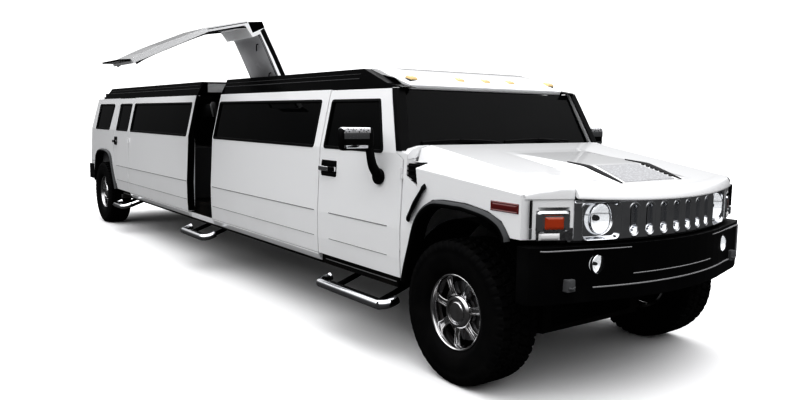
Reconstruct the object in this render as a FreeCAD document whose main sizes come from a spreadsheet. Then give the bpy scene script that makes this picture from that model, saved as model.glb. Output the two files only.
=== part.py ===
import FreeCAD, Part
import math
import os

import Sketcher

# Stretch limousine on a full-size off-road wagon, in millimetres.
# X points to the front, Y to the left, Z up.
# The origin lies on the floor, on the centre line, midway between the axles.

doc = FreeCAD.newDocument("StretchLimousine")
sheet = doc.addObject("Spreadsheet::Sheet", "Sizes")

driving_sizes = {
    # wheels
    "wheelbase": 7690,
    "track": 1763,
    "tyre_radius": 432,
    "tyre_width": 298,
    "bead_radius": 214,
    "rim_radius": 228,
    "rim_width": 236,
    "rim_wall": 9,
    "disc_offset": 74,
    "disc_thickness": 30,
    "hub_radius": 84,
    "spoke_count": 7,
    "spoke_half_width": 25,
    "wheel_window_low": 124,
    "wheel_window_high": 192,
    "kingpin_inset": 71.5,
    "ball_height": 150,
    "running_gap": 0.3,
    # side section, from the sill to the roof rail
    "sill_z": 533,
    "sill_y": 992,
    "lower_crease_z": 654,
    "lower_crease_y": 1000,
    "crease_z": 852,
    "crease_y": 1003,
    "belt_z": 1336,
    "belt_y": 980,
    "window_top_z": 1685,
    "window_top_y": 902,
    "cant_z": 1765,
    "cant_y": 882,
    "door_thickness": 75,
    "frame_thickness": 45,
    "skin_thickness": 20,
    "seam": 10,
    "door_step": 24,
    "glass_depth": 10,
    "glass_thickness": 6,
    "window_radius": 38,
    "hinge_radius": 4,
    "hinge_height": 70,
    "handle_z": 1183,
    "handle_height": 34,
    "handle_length": 205,
    "handle_inset": 37,
    "handle_out": 14,
    "handle_thickness": 12,
    # stations along the side
    "front_door_front": 3305,
    "front_door_rear": 2255,
    "wing_door_front": 145,
    "wing_door_rear": -505,
    "rear_door_front": -2655,
    "rear_door_rear": -3355,
    "body_rear": -4545,
    "pillar": 50,
    # arches, measured from the axle
    "arch_top_z": 1082,
    "arch_rear": 507,
    "arch_rear_low": 445,
    "arch_rear_low_z": 749,
    "arch_rear_middle": 390,
    "arch_rear_middle_z": 915,
    "arch_rear_high": 315,
    "arch_rear_high_z": 1014,
    "arch_rear_crest": 215,
    "arch_rear_crest_z": 1070,
    "arch_rear_top": 111,
    "arch_front_top": 84,
    "arch_crest": 260,
    "arch_crest_z": 1058,
    "arch_shoulder": 370,
    "arch_shoulder_z": 1016,
    "arch_front": 440,
    "arch_front_z": 932,
    "rear_arch_front": 635,
    "rear_arch_front_low": 520,
    "rear_arch_front_low_z": 730,
    "rear_arch_front_high": 395,
    "rear_arch_front_high_z": 960,
    "rear_arch_front_crest": 280,
    "rear_arch_front_top": 130,
    "rear_arch_top_z": 1052,
    "rear_arch_crest_z": 1028,
    "rear_arch_rear_top": 100,
    "rear_arch_rear_crest": 250,
    "rear_arch_rear_high": 370,
    "rear_arch_rear_high_z": 945,
    "rear_arch_rear": 470,
    "flare_band": 45,
    "flare_out": 28,
    # roof
    "rail_top_z": 1910,
    "rail_low_y": 868,
    "rail_top_y": 816,
    "rail_inner_y": 754,
    "roof_crown": 12,
    "roof_thickness": 40,
    "rail_front": 2595,
    "rail_nose": 3136,
    "rail_tail": -3992,
    "rail_end": -4229,
    "wing_hinge_y": 143,
    "wing_hinge_z": 1901,
    "wing_open": 64,
    "wing_roof_depth": 72,
    "wing_flap_length": 95,
    # windscreen and hood
    "screen_bottom_x": 3239,
    "screen_bottom_z": 1355,
    "screen_bottom_y": 900,
    "screen_top_x": 3072,
    "screen_top_z": 1784,
    "screen_top_y": 806,
    "hood_rear_x": 3405,
    "hood_front_x": 4355,
    "nose_x": 4617,
    "nose_z": 1150,
    "hood_rear_z": 1392,
    "hood_crease_rear_z": 1266,
    "hood_crease_front_z": 1150,
    "hood_wall": 28,
    "hood_eye_radius": 9,
    "scoop_rear_x": 3760,
    "scoop_lip_x": 4185,
    "scoop_height": 34,
    "scoop_half": 300,
    # nose and bumpers
    "grille_low_z": 915,
    "grille_top_z": 1141,
    "grille_half": 735,
    "grille_depth": 40,
    "grille_sweep": 132,
    "bumper_low_z": 600,
    "bumper_top_z": 905,
    "bumper_front": 4648,
    "bumper_side": 4345,
    "bumper_corner_x": 4430,
    "bumper_shoulder_x": 4478,
    "bumper_shoulder_y": 900,
    "bumper_half": 1010,
    "bumper_wall": 130,
    "rear_bumper_end": -4745,
    "rear_bumper_low_z": 585,
    "rear_bumper_top_z": 800,
    # chassis
    "floor_z": 612,
    "floor_thickness": 30,
    "rocker_outer_y": 950,
    "rocker_low_z": 450,
    "rocker_front": 3225,
    "rocker_rear": -3080,
    "rail_y": 430,
    "rail_width": 80,
    "rail_height": 140,
    "rail_z": 470,
    "frame_front": 4400,
    "frame_rear": -4560,
    "frame_nose_z": 640,
    "frame_tail_z": 470,
    "frame_arch_z": 640,
    "well_inner_y": 700,
    "well_reach": 560,
    "liner_radius": 540,
    "liner_inner_y": 520,
    "hub_reach": 20,
    "flange_width": 6,
    # lamps, grille slots and small fittings
    "slot_pitch": 118,
    "slot_width": 62,
    "slot_low_z": 942,
    "slot_top_z": 1112,
    "lamp_y": 566,
    "lamp_z": 1035,
    "lamp_radius": 82,
    "fog_y": 618,
    "fog_z": 805,
    "fog_radius": 50,
    "radiator_low_z": 660,
    "radiator_top_z": 950,
    "turn_outer_y": 930,
    "turn_inner_y": 762,
    "turn_low_z": 983,
    "turn_top_z": 1108,
    "gate_half": 780,
    "gate_low_z": 810,
    "gate_thickness": 70,
    "plate_z": 700,
    "plate_spacing": 178,
    "plate_hole_radius": 3.5,
    "hitch_z": 500,
    "hitch_pin_radius": 8.1,
    "step_outer_y": 1120,
    "step_width": 120,
    "step_radius": 32,
    "step_z": 380,
    "mirror_x": 3035,
    "mirror_z": 1345,
    "mirror_outer_y": 1290,
    "mirror_width": 245,
    "mirror_height": 158,
    # cabin
    "seat_x": 2330,
    "seat_y": 440,
    "steering_z": 1195,
}

for row, (alias, value) in enumerate(driving_sizes.items(), start=1):
    sheet.set("A%d" % row, alias)
    sheet.set("B%d" % row, str(value))
    sheet.setAlias("B%d" % row, alias)
doc.recompute()


# A number that remembers the sheet cells it was worked out from.
class Size:
    def __init__(self, value, text):
        self.value = float(value)
        self.text = text

    def __add__(self, other):
        other = as_size(other)
        return Size(self.value + other.value, "(%s + %s)" % (self.text, other.text))

    def __radd__(self, other):
        return as_size(other) + self

    def __sub__(self, other):
        other = as_size(other)
        return Size(self.value - other.value, "(%s - %s)" % (self.text, other.text))

    def __rsub__(self, other):
        return as_size(other) - self

    def __mul__(self, other):
        other = as_size(other)
        return Size(self.value * other.value, "(%s * %s)" % (self.text, other.text))

    def __rmul__(self, other):
        return as_size(other) * self

    def __truediv__(self, other):
        other = as_size(other)
        return Size(self.value / other.value, "(%s / %s)" % (self.text, other.text))

    def __neg__(self):
        return Size(-self.value, "(0 - %s)" % self.text)


def as_size(number):
    if isinstance(number, Size):
        return number
    return Size(number, "(%r)" % float(number))


class Cells:
    def __getattr__(self, alias):
        return Size(sheet.get(alias), "Sizes." + alias)


s = Cells()


def bind(feature, path, size):
    feature.setExpression(path, as_size(size).text)


def between(low, high, share):
    return low + (high - low) * share


# Basic shapes. Every corner is held by a pair of numbers along each axis.
def box(name, x, y, z):
    solid = doc.addObject("Part::Box", name)
    bind(solid, "Length", x[1] - x[0])
    bind(solid, "Width", y[1] - y[0])
    bind(solid, "Height", z[1] - z[0])
    for letter, pair in zip("xyz", (x, y, z)):
        bind(solid, "Placement.Base." + letter, pair[0])
    return solid


turns = {
    "x": FreeCAD.Rotation(FreeCAD.Vector(0, 1, 0), 90),
    "y": FreeCAD.Rotation(FreeCAD.Vector(1, 0, 0), -90),
    "z": FreeCAD.Rotation(),
}


def cylinder(name, axis, start, length, radius):
    solid = doc.addObject("Part::Cylinder", name)
    solid.Placement = FreeCAD.Placement(FreeCAD.Vector(), turns[axis])
    bind(solid, "Radius", radius)
    bind(solid, "Height", length)
    for letter, place in zip("xyz", start):
        bind(solid, "Placement.Base." + letter, place)
    return solid


# The sketch planes: how a flat outline stands in space, and the axis across it.
planes = {
    "XZ": (FreeCAD.Rotation(FreeCAD.Vector(1, 0, 0), 90), "y", FreeCAD.Vector(0, 1, 0)),
    "YZ": (FreeCAD.Rotation(FreeCAD.Vector(1, 1, 1), 120), "x", FreeCAD.Vector(1, 0, 0)),
    "XY": (FreeCAD.Rotation(), "z", FreeCAD.Vector(0, 0, 1)),
}


def outline(name, plane, points, offset):
    sketch = doc.addObject("Sketcher::SketchObject", name + "_outline")
    turn, across, _ = planes[plane]
    sketch.Placement = FreeCAD.Placement(FreeCAD.Vector(), turn)
    bind(sketch, "Placement.Base." + across, offset)
    corners = [(as_size(a), as_size(b)) for a, b in points]
    places = [FreeCAD.Vector(a.value, b.value, 0) for a, b in corners]
    lines = [
        Part.LineSegment(place, places[(number + 1) % len(places)])
        for number, place in enumerate(places)
    ]
    sketch.addGeometry(lines, False)
    joins = [
        Sketcher.Constraint("Coincident", number, 2, (number + 1) % len(lines), 1)
        for number in range(len(lines))
    ]
    sketch.addConstraint(joins)
    for number, (a, b) in enumerate(corners):
        for kind, size in (("DistanceX", a), ("DistanceY", b)):
            index = sketch.addConstraint(Sketcher.Constraint(kind, -1, 1, number, 1, size.value))
            if "Sizes." in size.text:
                sketch.setExpression("Constraints[%d]" % index, size.text)
    return sketch


def prism(name, plane, points, low, high):
    solid = doc.addObject("Part::Extrusion", name)
    solid.Base = outline(name, plane, points, low)
    solid.DirMode = "Custom"
    solid.Dir = planes[plane][2]
    bind(solid, "LengthFwd", high - low)
    solid.Solid = True
    return solid


def turned(name, plane, points, centre, axis):
    sketch = outline(name, plane, points, 0)
    for letter, place in zip("xyz", centre):
        bind(sketch, "Placement.Base." + letter, place)
    solid = doc.addObject("Part::Revolution", name)
    solid.Source = sketch
    solid.Axis = axis
    for letter, place in zip("xyz", centre):
        bind(solid, "Base." + letter, place)
    solid.Angle = 360
    solid.Solid = True
    return solid


def mixed(kind, name, shapes):
    result = doc.addObject(kind, name)
    if kind == "Part::Compound":
        result.Links = shapes
    else:
        result.Shapes = shapes
    return result


def joined(name, shapes):
    return mixed("Part::MultiFuse", name, shapes)


def shared(name, shapes):
    return mixed("Part::MultiCommon", name, shapes)


def together(name, shapes):
    return mixed("Part::Compound", name, shapes)


def cut(name, base, tools):
    result = doc.addObject("Part::Cut", name)
    result.Base = base
    result.Tool = tools[0] if len(tools) == 1 else joined(name + "_tools", tools)
    return result


def mirrored(name, source):
    result = doc.addObject("Part::Mirroring", name)
    result.Source = source
    result.Normal = FreeCAD.Vector(0, 1, 0)
    return result


def rounded(name, base, radius, letter):
    doc.recompute()
    result = doc.addObject("Part::Fillet", name)
    result.Base = base
    along = dict(zip("xyz", (FreeCAD.Vector(1, 0, 0), FreeCAD.Vector(0, 1, 0), FreeCAD.Vector(0, 0, 1))))
    edges = []
    for number, edge in enumerate(base.Shape.Edges, start=1):
        direction = edge.tangentAt(edge.FirstParameter)
        if isinstance(edge.Curve, Part.Line) and abs(direction.dot(along[letter])) > 0.999:
            edges.append((number, as_size(radius).value, as_size(radius).value))
    result.Edges = edges
    return result


nodes = {}


def node(label, feature):
    feature.Label = label
    nodes[label] = feature
    return feature


front_axle = s.wheelbase / 2
rear_axle = -(s.wheelbase / 2)
half_track = s.track / 2


# Side section: one closed outline that doors, pillars and long panels share.
def side_wall(name, x, low_thickness, high_thickness):
    points = [
        (-s.sill_y, s.sill_z),
        (-s.lower_crease_y, s.lower_crease_z),
        (-s.crease_y, s.crease_z),
        (-s.belt_y, s.belt_z),
        (-s.window_top_y, s.window_top_z),
        (-s.cant_y, s.cant_z),
        (-s.cant_y + high_thickness, s.cant_z),
        (-s.window_top_y + high_thickness, s.window_top_z),
        (-s.belt_y + high_thickness, s.belt_z),
        (-s.belt_y + low_thickness, s.belt_z - 40),
        (-s.sill_y + low_thickness, s.sill_z),
    ]
    return prism(name, "YZ", points, x[0], x[1])


def whole_wall(name, x):
    return side_wall(name, x, s.door_thickness, s.frame_thickness)


def skin_wall(name, x):
    return side_wall(name, x, s.skin_thickness, s.skin_thickness)


outside = -(s.crease_y + 60)
inside = -(s.cant_y - 200)


def side_tool(name, points):
    return prism(name, "XZ", points, outside, inside)


def window_tool(name, bottom, top):
    raw = side_tool(
        name + "_raw",
        [
            (bottom[0], s.belt_z),
            (bottom[1], s.belt_z),
            (top[1], s.window_top_z),
            (top[0], s.window_top_z),
        ],
    )
    return rounded(name, raw, s.window_radius, "y")


def pane(name, hole, x):
    outer = -s.glass_depth
    inner = -(s.glass_depth + s.glass_thickness)
    points = [
        (-(s.belt_y + outer), s.belt_z),
        (-(s.window_top_y + outer), s.window_top_z),
        (-(s.window_top_y + inner), s.window_top_z),
        (-(s.belt_y + inner), s.belt_z),
    ]
    sheet_of_glass = prism(name + "_sheet", "YZ", points, x[0], x[1])
    return shared(name, [sheet_of_glass, hole])


# Windows of the right side, from the front to the rear: bottom and top edges.
window_edges = {
    "front_door": (
        (s.front_door_rear + s.pillar, s.front_door_front - 225),
        (s.front_door_rear + s.pillar, s.front_door_front - 375),
    ),
    "front_long": (
        (s.wing_door_front + 30, s.front_door_rear - 2 * s.pillar),
        (s.wing_door_front + 30, s.front_door_rear - 2 * s.pillar),
    ),
    "wing_door": (
        (s.wing_door_rear + 45, s.wing_door_front - 45),
        (s.wing_door_rear + 45, s.wing_door_front - 45),
    ),
    "rear_long": (
        (s.rear_door_front + s.pillar, s.wing_door_rear - 70),
        (s.rear_door_front + s.pillar, s.wing_door_rear - 80),
    ),
    "rear_door": (
        (s.rear_door_rear + 115, s.rear_door_front - 70),
        (s.rear_door_rear + 60, s.rear_door_front - 80),
    ),
    "quarter": (
        (s.body_rear + 240, s.rear_door_rear - 230),
        (s.body_rear + 255, s.rear_door_rear - 160),
    ),
}
holes = {name: window_tool("hole_" + name, *edges) for name, edges in window_edges.items()}


# A door: its skin fills the opening, its inner box is set back by a step.
def door(name, edge, hole, front, rear):
    skin = shared(
        name + "_skin", [skin_wall(name + "_skin_wall", (rear, front)), side_tool(name + "_edge", edge(0))]
    )
    core = shared(
        name + "_core",
        [whole_wall(name + "_core_wall", (rear, front)), side_tool(name + "_core_edge", edge(s.door_step))],
    )
    return cut(name + "_panel", joined(name + "_body", [skin, core]), [hole])


half_seam = s.seam / 2


# Hinge pieces in the seam: the upper barrel is fixed, the lower one turns with the door.
def door_hinges(name, x, fixed):
    pieces = []
    for number, height in enumerate((s.lower_crease_z + 60, s.belt_z - 160)):
        low = height if fixed else height + s.hinge_height / 2 + s.running_gap
        length = s.hinge_height / 2
        barrel = cylinder("%s_barrel_%d" % (name, number), "z", (x, -s.crease_y, low), length, s.hinge_radius)
        plate_x = (x, x + half_seam + 1) if fixed else (x - half_seam - 1, x)
        leaf = box(
            "%s_leaf_%d" % (name, number), plate_x, (-s.crease_y, -s.crease_y + 30), (low, low + length)
        )
        pieces += [barrel, leaf]
    return pieces


def front_door_edge(step):
    return [
        (s.front_door_rear + half_seam + step, s.sill_z + step),
        (s.front_door_front - half_seam - step, s.sill_z + step),
        (s.front_door_front - half_seam - step, s.belt_z - 40),
        (s.front_door_front - 90 - step, s.belt_z + 10),
        (s.front_door_front - 275 - step, s.cant_z - half_seam - step),
        (s.front_door_rear + half_seam + step, s.cant_z - half_seam - step),
    ]


def rear_door_edge(step):
    return [
        (rear_axle + s.rear_arch_front + half_seam + step, s.sill_z + step),
        (s.rear_door_front - half_seam - step, s.sill_z + step),
        (s.rear_door_front - half_seam - step, s.cant_z - half_seam - step),
        (s.rear_door_rear + half_seam + step, s.cant_z - half_seam - step),
        (s.rear_door_rear + half_seam + step, s.crease_z + step),
    ]


def opening(name, edge):
    return side_tool(name, edge(-s.seam))


front_door_panel = door(
    "front_door", front_door_edge, holes["front_door"], s.front_door_front, s.front_door_rear
)
rear_door_panel = door("rear_door", rear_door_edge, holes["rear_door"], s.rear_door_front, s.rear_door_rear)


# A pull handle on two feet that stand on the door's skin.
def handle(name, rear, length):
    low = s.handle_z - s.handle_height / 2
    high = s.handle_z + s.handle_height / 2
    foot = s.handle_height * 0.8
    grip = box(
        name + "_grip",
        (rear, rear + length),
        (-s.crease_y - s.handle_out, -s.crease_y - s.handle_out + s.handle_thickness),
        (low, high),
    )
    feet = [
        box(
            "%s_foot_%d" % (name, number),
            (start, start + foot),
            (-s.crease_y - s.handle_out, -s.belt_y + 4),
            (low, high),
        )
        for number, start in enumerate((rear, rear + length - foot))
    ]
    return joined(name, [grip] + feet)


front_handle = handle("front_handle", s.front_door_rear + s.handle_inset, s.handle_length)
rear_handle = handle("rear_handle", s.rear_door_rear + s.handle_inset * 0.6, s.handle_length * 0.6)
front_door_right = joined(
    "door_front_right",
    [front_door_panel, front_handle] + door_hinges("front_moving", s.front_door_front, False),
)
rear_door_right = joined(
    "door_rear_right",
    [rear_door_panel, rear_handle] + door_hinges("rear_moving", s.rear_door_front, False),
)
node("door_front_right", front_door_right)
node("door_front_left", mirrored("door_front_left", front_door_right))
node("door_rear_right", rear_door_right)
node("door_rear_left", mirrored("door_rear_left", rear_door_right))

front_door_pane = pane("front_door_pane", holes["front_door"], (s.front_door_rear, s.front_door_front))
rear_door_pane = pane("rear_door_pane", holes["rear_door"], (s.rear_door_rear, s.rear_door_front))
node("door_glass_front_right", front_door_pane)
node("door_glass_front_left", mirrored("door_glass_front_left", front_door_pane))
node("door_glass_rear_right", rear_door_pane)
node("door_glass_rear_left", mirrored("door_glass_rear_left", rear_door_pane))

# Long fixed panels between the doors.
front_span = (s.wing_door_front + half_seam, s.front_door_rear - half_seam)
rear_span = (s.rear_door_front + half_seam, s.wing_door_rear - half_seam)
right_front = cut(
    "side_right_front_cut", whole_wall("side_right_front_wall", front_span), [holes["front_long"]]
)
right_rear = joined(
    "side_right_rear_panel",
    [cut("side_right_rear_cut", whole_wall("side_right_rear_wall", rear_span), [holes["rear_long"]])]
    + door_hinges("rear_fixed", s.rear_door_front, True),
)
node("side_right", together("side_right", [right_front, right_rear]))
left_wall = cut(
    "side_left_cut",
    whole_wall("side_left_wall", (rear_span[0], front_span[1])),
    [holes["front_long"], holes["wing_door"], holes["rear_long"]],
)
left_joined = joined(
    "side_left_joined", [left_wall] + door_hinges("rear_fixed_left", s.rear_door_front, True)
)
node("side_left", mirrored("side_left", left_joined))


# Arches: the opening's edge, which the flare follows at the width of its band.
def front_arch(band):
    return [
        (front_axle - s.arch_rear + band, s.sill_z - 200),
        (front_axle - s.arch_rear + band, s.sill_z),
        (front_axle - s.arch_rear_low + band, s.arch_rear_low_z),
        (front_axle - s.arch_rear_middle + band * 0.9, s.arch_rear_middle_z - band * 0.4),
        (front_axle - s.arch_rear_high + band * 0.8, s.arch_rear_high_z - band * 0.6),
        (front_axle - s.arch_rear_crest + band * 0.5, s.arch_rear_crest_z - band * 0.9),
        (front_axle - s.arch_rear_top + band * 0.2, s.arch_top_z - band),
        (front_axle + s.arch_front_top, s.arch_top_z - band),
        (front_axle + s.arch_crest - band * 0.4, s.arch_crest_z - band),
        (front_axle + s.arch_shoulder - band * 0.7, s.arch_shoulder_z - band * 0.8),
        (front_axle + s.arch_front - band, s.arch_front_z),
        (front_axle + s.arch_front - band, s.sill_z - 200),
    ]


def rear_arch(band):
    return [
        (rear_axle + s.rear_arch_front - band, s.sill_z - 200),
        (rear_axle + s.rear_arch_front - band, s.sill_z),
        (rear_axle + s.rear_arch_front_low - band, s.rear_arch_front_low_z),
        (rear_axle + s.rear_arch_front_high - band * 0.9, s.rear_arch_front_high_z - band * 0.4),
        (rear_axle + s.rear_arch_front_crest - band * 0.6, s.rear_arch_crest_z - band * 0.8),
        (rear_axle + s.rear_arch_front_top - band * 0.2, s.rear_arch_top_z - band),
        (rear_axle - s.rear_arch_rear_top + band * 0.2, s.rear_arch_top_z - band),
        (rear_axle - s.rear_arch_rear_crest + band * 0.6, s.rear_arch_crest_z - band * 0.8),
        (rear_axle - s.rear_arch_rear_high + band * 0.9, s.rear_arch_rear_high_z - band * 0.4),
        (rear_axle - s.rear_arch_rear + band, s.sill_z + 90),
        (rear_axle - s.rear_arch_rear + band, s.sill_z - 200),
    ]


def flare(name, arch):
    ring = prism(name + "_ring", "XZ", arch(0), -(s.crease_y + s.flare_out), -(s.crease_y - s.door_thickness))
    hole = side_tool(name + "_hole", arch(s.flare_band))
    floor = box(
        name + "_floor",
        (front_axle * -2, front_axle * 2),
        (outside * 2, inside),
        (s.sill_z - 400, s.sill_z),
    )
    return cut(name, ring, [hole, floor])


# The front flare ends on top of the bumper's corner.
bumper_corner_room = box(
    "bumper_corner_room",
    (front_axle, front_axle * 2),
    (outside * 2, inside),
    (s.sill_z - 450, s.bumper_top_z + s.seam),
)
flares = [
    cut("flare_front_cut", flare("flare_front", front_arch), [bumper_corner_room]),
    flare("flare_rear", rear_arch),
]
node(
    "arch_flares", together("arch_flares", flares + [mirrored(part.Name + "_left", part) for part in flares])
)

# Rear quarters run from the rear door to the tail, and turn the corner as rear posts.
quarter_wall = whole_wall("quarter_wall", (s.body_rear, rear_axle + s.rear_arch_front))
quarter_tail = prism(
    "quarter_tail",
    "XZ",
    [
        (s.body_rear, s.sill_z - 10),
        (s.body_rear, s.belt_z),
        (s.body_rear + 65, s.cant_z),
        (s.body_rear + 2000, s.cant_z),
        (s.body_rear + 2000, s.sill_z - 10),
    ],
    outside,
    inside,
)
quarter = cut(
    "quarter_cut",
    shared("quarter_shape", [quarter_wall, quarter_tail]),
    [
        holes["quarter"],
        side_tool("quarter_arch", rear_arch(0)),
        opening("rear_door_opening", rear_door_edge),
        box(
            "bumper_room",
            (s.body_rear - 20, s.body_rear + 150 + half_seam),
            (outside, -900),
            (s.sill_z - 50, s.rear_bumper_top_z + half_seam),
        ),
    ],
)

# Fixed glass beside the seats and the load space.
fixed_panes = [
    pane("pane_front_long", holes["front_long"], front_span),
    pane("pane_rear_long", holes["rear_long"], rear_span),
    pane("pane_quarter", holes["quarter"], (s.body_rear, s.rear_door_rear)),
]
left_panes = [
    mirrored("pane_front_long_left", fixed_panes[0]),
    mirrored("pane_rear_long_left", fixed_panes[1]),
    mirrored("pane_quarter_left", fixed_panes[2]),
    mirrored(
        "pane_middle_left", pane("pane_middle", holes["wing_door"], (s.wing_door_rear, s.wing_door_front))
    ),
]

# Roof rails: a raised band along each side, cut where the wing door takes its own piece.
rail_section = [
    (-s.rail_low_y, s.cant_z),
    (-s.rail_top_y, s.rail_top_z),
    (-s.rail_inner_y, s.rail_top_z),
    (-s.rail_inner_y, s.cant_z),
]
rail_side = side_tool(
    "rail_side",
    [
        (s.rail_nose, s.cant_z),
        (s.rail_nose - 200, s.cant_z + 34),
        (s.rail_front, s.rail_top_z),
        (s.rail_tail, s.rail_top_z),
        (s.rail_end, s.cant_z),
    ],
)
rail = shared("rail_shape", [prism("rail_bar", "YZ", rail_section, s.rail_end, s.rail_nose), rail_side])
door_way = (s.wing_door_rear - half_seam, s.wing_door_front + half_seam)
rail_gap = box("rail_gap", door_way, (outside, inside), (s.cant_z - 10, s.rail_top_z + 10))
node("roof_rails", together("roof_rails", [cut("rail_right", rail, [rail_gap]), mirrored("rail_left", rail)]))


def roof_section(low_drop):
    crown = s.rail_top_z + s.roof_crown
    return [
        (-s.rail_inner_y, s.rail_top_z),
        (s.rail_inner_y * -0.5, s.rail_top_z + s.roof_crown * 0.75),
        (0, crown),
        (s.rail_inner_y * 0.5, s.rail_top_z + s.roof_crown * 0.75),
        (s.rail_inner_y, s.rail_top_z),
        (s.rail_inner_y, s.rail_top_z - low_drop),
        (-s.rail_inner_y, s.rail_top_z - low_drop),
    ]


roof_panel = prism("roof_panel", "YZ", roof_section(s.roof_thickness), s.rail_tail, s.rail_front)
roof_gap = box(
    "roof_gap",
    door_way,
    (outside, -s.wing_hinge_y + 26),
    (s.cant_z, s.rail_top_z + 60),
)
tail_deck = prism(
    "tail_deck",
    "XZ",
    [
        (s.body_rear + 145, s.cant_z - 40),
        (s.body_rear + 145, s.cant_z),
        (s.rail_end, s.cant_z),
        (s.rail_tail, s.rail_top_z),
        (s.rail_tail, s.rail_top_z - s.roof_thickness),
        (s.rail_end + 20, s.cant_z - 40),
    ],
    -s.rail_inner_y,
    s.rail_inner_y,
)


def wing_hinges(name, fixed):
    pieces = []
    width = s.wing_door_front - s.wing_door_rear
    for number, share in enumerate((0.12, 0.5, 0.88)):
        middle = s.wing_door_rear + width * share
        low = middle if fixed else middle + 30 + s.running_gap
        barrel = cylinder(
            "%s_barrel_%d" % (name, number), "x", (low, -s.wing_hinge_y, s.wing_hinge_z), 30, 8
        )
        reach = (-s.wing_hinge_y, -s.wing_hinge_y + 27) if fixed else (-s.wing_hinge_y - 27, -s.wing_hinge_y)
        leaf = box(
            "%s_leaf_%d" % (name, number), (low, low + 30), reach, (s.wing_hinge_z - 8, s.wing_hinge_z)
        )
        pieces += [barrel, leaf]
    return pieces


long_roof = joined(
    "long_roof_joined", [cut("roof_panel_cut", roof_panel, [roof_gap]), tail_deck] + wing_hinges(
        "wing_fixed", True
    )
)
node("long_roof", long_roof)

# Cab roof: the white cap that rises from the windscreen to the long roof.
cab_roof = prism(
    "cab_roof_shape",
    "XZ",
    [
        (s.screen_top_x - 4, s.screen_top_z),
        (s.screen_top_x - 40, s.screen_top_z + 36),
        (s.screen_top_x - 180, s.screen_top_z + 92),
        (s.rail_front + 120, s.rail_top_z + s.roof_crown - 4),
        (s.rail_front, s.rail_top_z + s.roof_crown * 0.5),
        (s.rail_front, s.rail_top_z - s.roof_thickness),
        (s.screen_top_x - 180, s.screen_top_z + 52),
        (s.screen_top_x - 60, s.screen_top_z - 10),
        (s.screen_top_x - 20, s.screen_top_z - 30),
    ],
    -s.rail_inner_y,
    s.rail_inner_y,
)
node("cab_roof", cab_roof)

# Wing door: side, roof portion and lower flap in one shell, built closed.
wing_span = (s.wing_door_rear + half_seam, s.wing_door_front - half_seam)
wing_wall = side_wall("wing_wall", wing_span, s.frame_thickness, s.frame_thickness)
wing_side = cut("wing_side", wing_wall, [holes["wing_door"]])
wing_roof = prism(
    "wing_roof",
    "YZ",
    [
        (-s.wing_hinge_y - 8, s.rail_top_z + s.roof_crown * 0.9),
        (s.rail_inner_y * -0.5, s.rail_top_z + s.roof_crown * 0.75),
        (-s.rail_inner_y, s.rail_top_z),
        (-s.rail_inner_y, s.cant_z),
        (-s.rail_inner_y + 40, s.rail_top_z - s.wing_roof_depth),
        (-s.wing_hinge_y - 20, s.rail_top_z - s.wing_roof_depth),
        (-s.wing_hinge_y - 8, s.wing_hinge_z - 30),
    ],
    wing_span[0],
    wing_span[1],
)
wing_joint = prism(
    "wing_joint",
    "YZ",
    [
        (-s.cant_y, s.cant_z - 45),
        (-s.cant_y, s.cant_z),
        (-s.rail_inner_y, s.cant_z),
        (-s.rail_inner_y + 40, s.rail_top_z - s.wing_roof_depth),
        (-s.rail_inner_y + 40, s.cant_z - 20),
        (-s.cant_y + s.frame_thickness, s.cant_z - 45),
    ],
    wing_span[0],
    wing_span[1],
)
wing_shell = joined("wing_shell", [wing_side, wing_roof, wing_joint] + wing_hinges("wing_moving", False))
wing_rail = prism("wing_rail", "YZ", rail_section, wing_span[0], wing_span[1])
wing_flap = prism(
    "wing_flap",
    "YZ",
    [
        (-s.sill_y, s.sill_z),
        (-s.sill_y - 36, s.sill_z - s.wing_flap_length),
        (-s.sill_y - 22, s.sill_z - s.wing_flap_length),
        (-s.sill_y + 20, s.sill_z),
    ],
    wing_span[0] + 30,
    wing_span[1] - 30,
)
wing_pane = pane("wing_pane", holes["wing_door"], wing_span)

# The wing door stands open: every piece of it turns about the hinge line.
hinge_line = FreeCAD.Vector(0, -s.wing_hinge_y.value, s.wing_hinge_z.value)
lift = FreeCAD.Placement(
    FreeCAD.Vector(), FreeCAD.Rotation(FreeCAD.Vector(1, 0, 0), -s.wing_open.value), hinge_line
)


def raised(label, feature):
    holder = together(label, [feature])
    holder.Placement = lift
    return node(label, holder)


raised("wing_door", wing_shell)
raised("wing_door_glass", wing_pane)
raised("wing_door_rail", together("wing_rail_set", [wing_rail, wing_flap]))

# Cowl: side pieces ahead of the front doors, screen posts and the scuttle between them.
cowl_front = s.hood_rear_x + 65
vent_low_z = s.arch_top_z + 52
vent_top_z = s.hood_crease_rear_z + 19
cowl_shape = shared(
    "cowl_shape",
    [
        whole_wall("cowl_wall", (s.front_door_front - 300, s.hood_rear_x + 120)),
        side_tool(
            "cowl_side_edge",
            [
                (s.front_door_front + half_seam, s.sill_z),
                (cowl_front, s.sill_z),
                (cowl_front, vent_low_z),
                (s.hood_rear_x - 60, vent_low_z + 66),
                (s.hood_rear_x - 60, s.belt_z),
                (s.screen_bottom_x + 40, s.screen_bottom_z),
                (s.screen_top_x + 22, s.cant_z + 4),
                (s.front_door_front - 275 + half_seam, s.cant_z + 4),
                (s.front_door_front - 90 + half_seam, s.belt_z + 10),
                (s.front_door_front + half_seam, s.belt_z - 40),
            ],
        ),
    ],
)
cowl_side = cut("cowl_side", cowl_shape, [side_tool("cowl_arch", front_arch(0))])
cowl_side_hinged = joined(
    "cowl_side_hinged", [cowl_side] + door_hinges("front_fixed", s.front_door_front, True)
)
cowl_half = s.belt_y - s.door_thickness - 6
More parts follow.
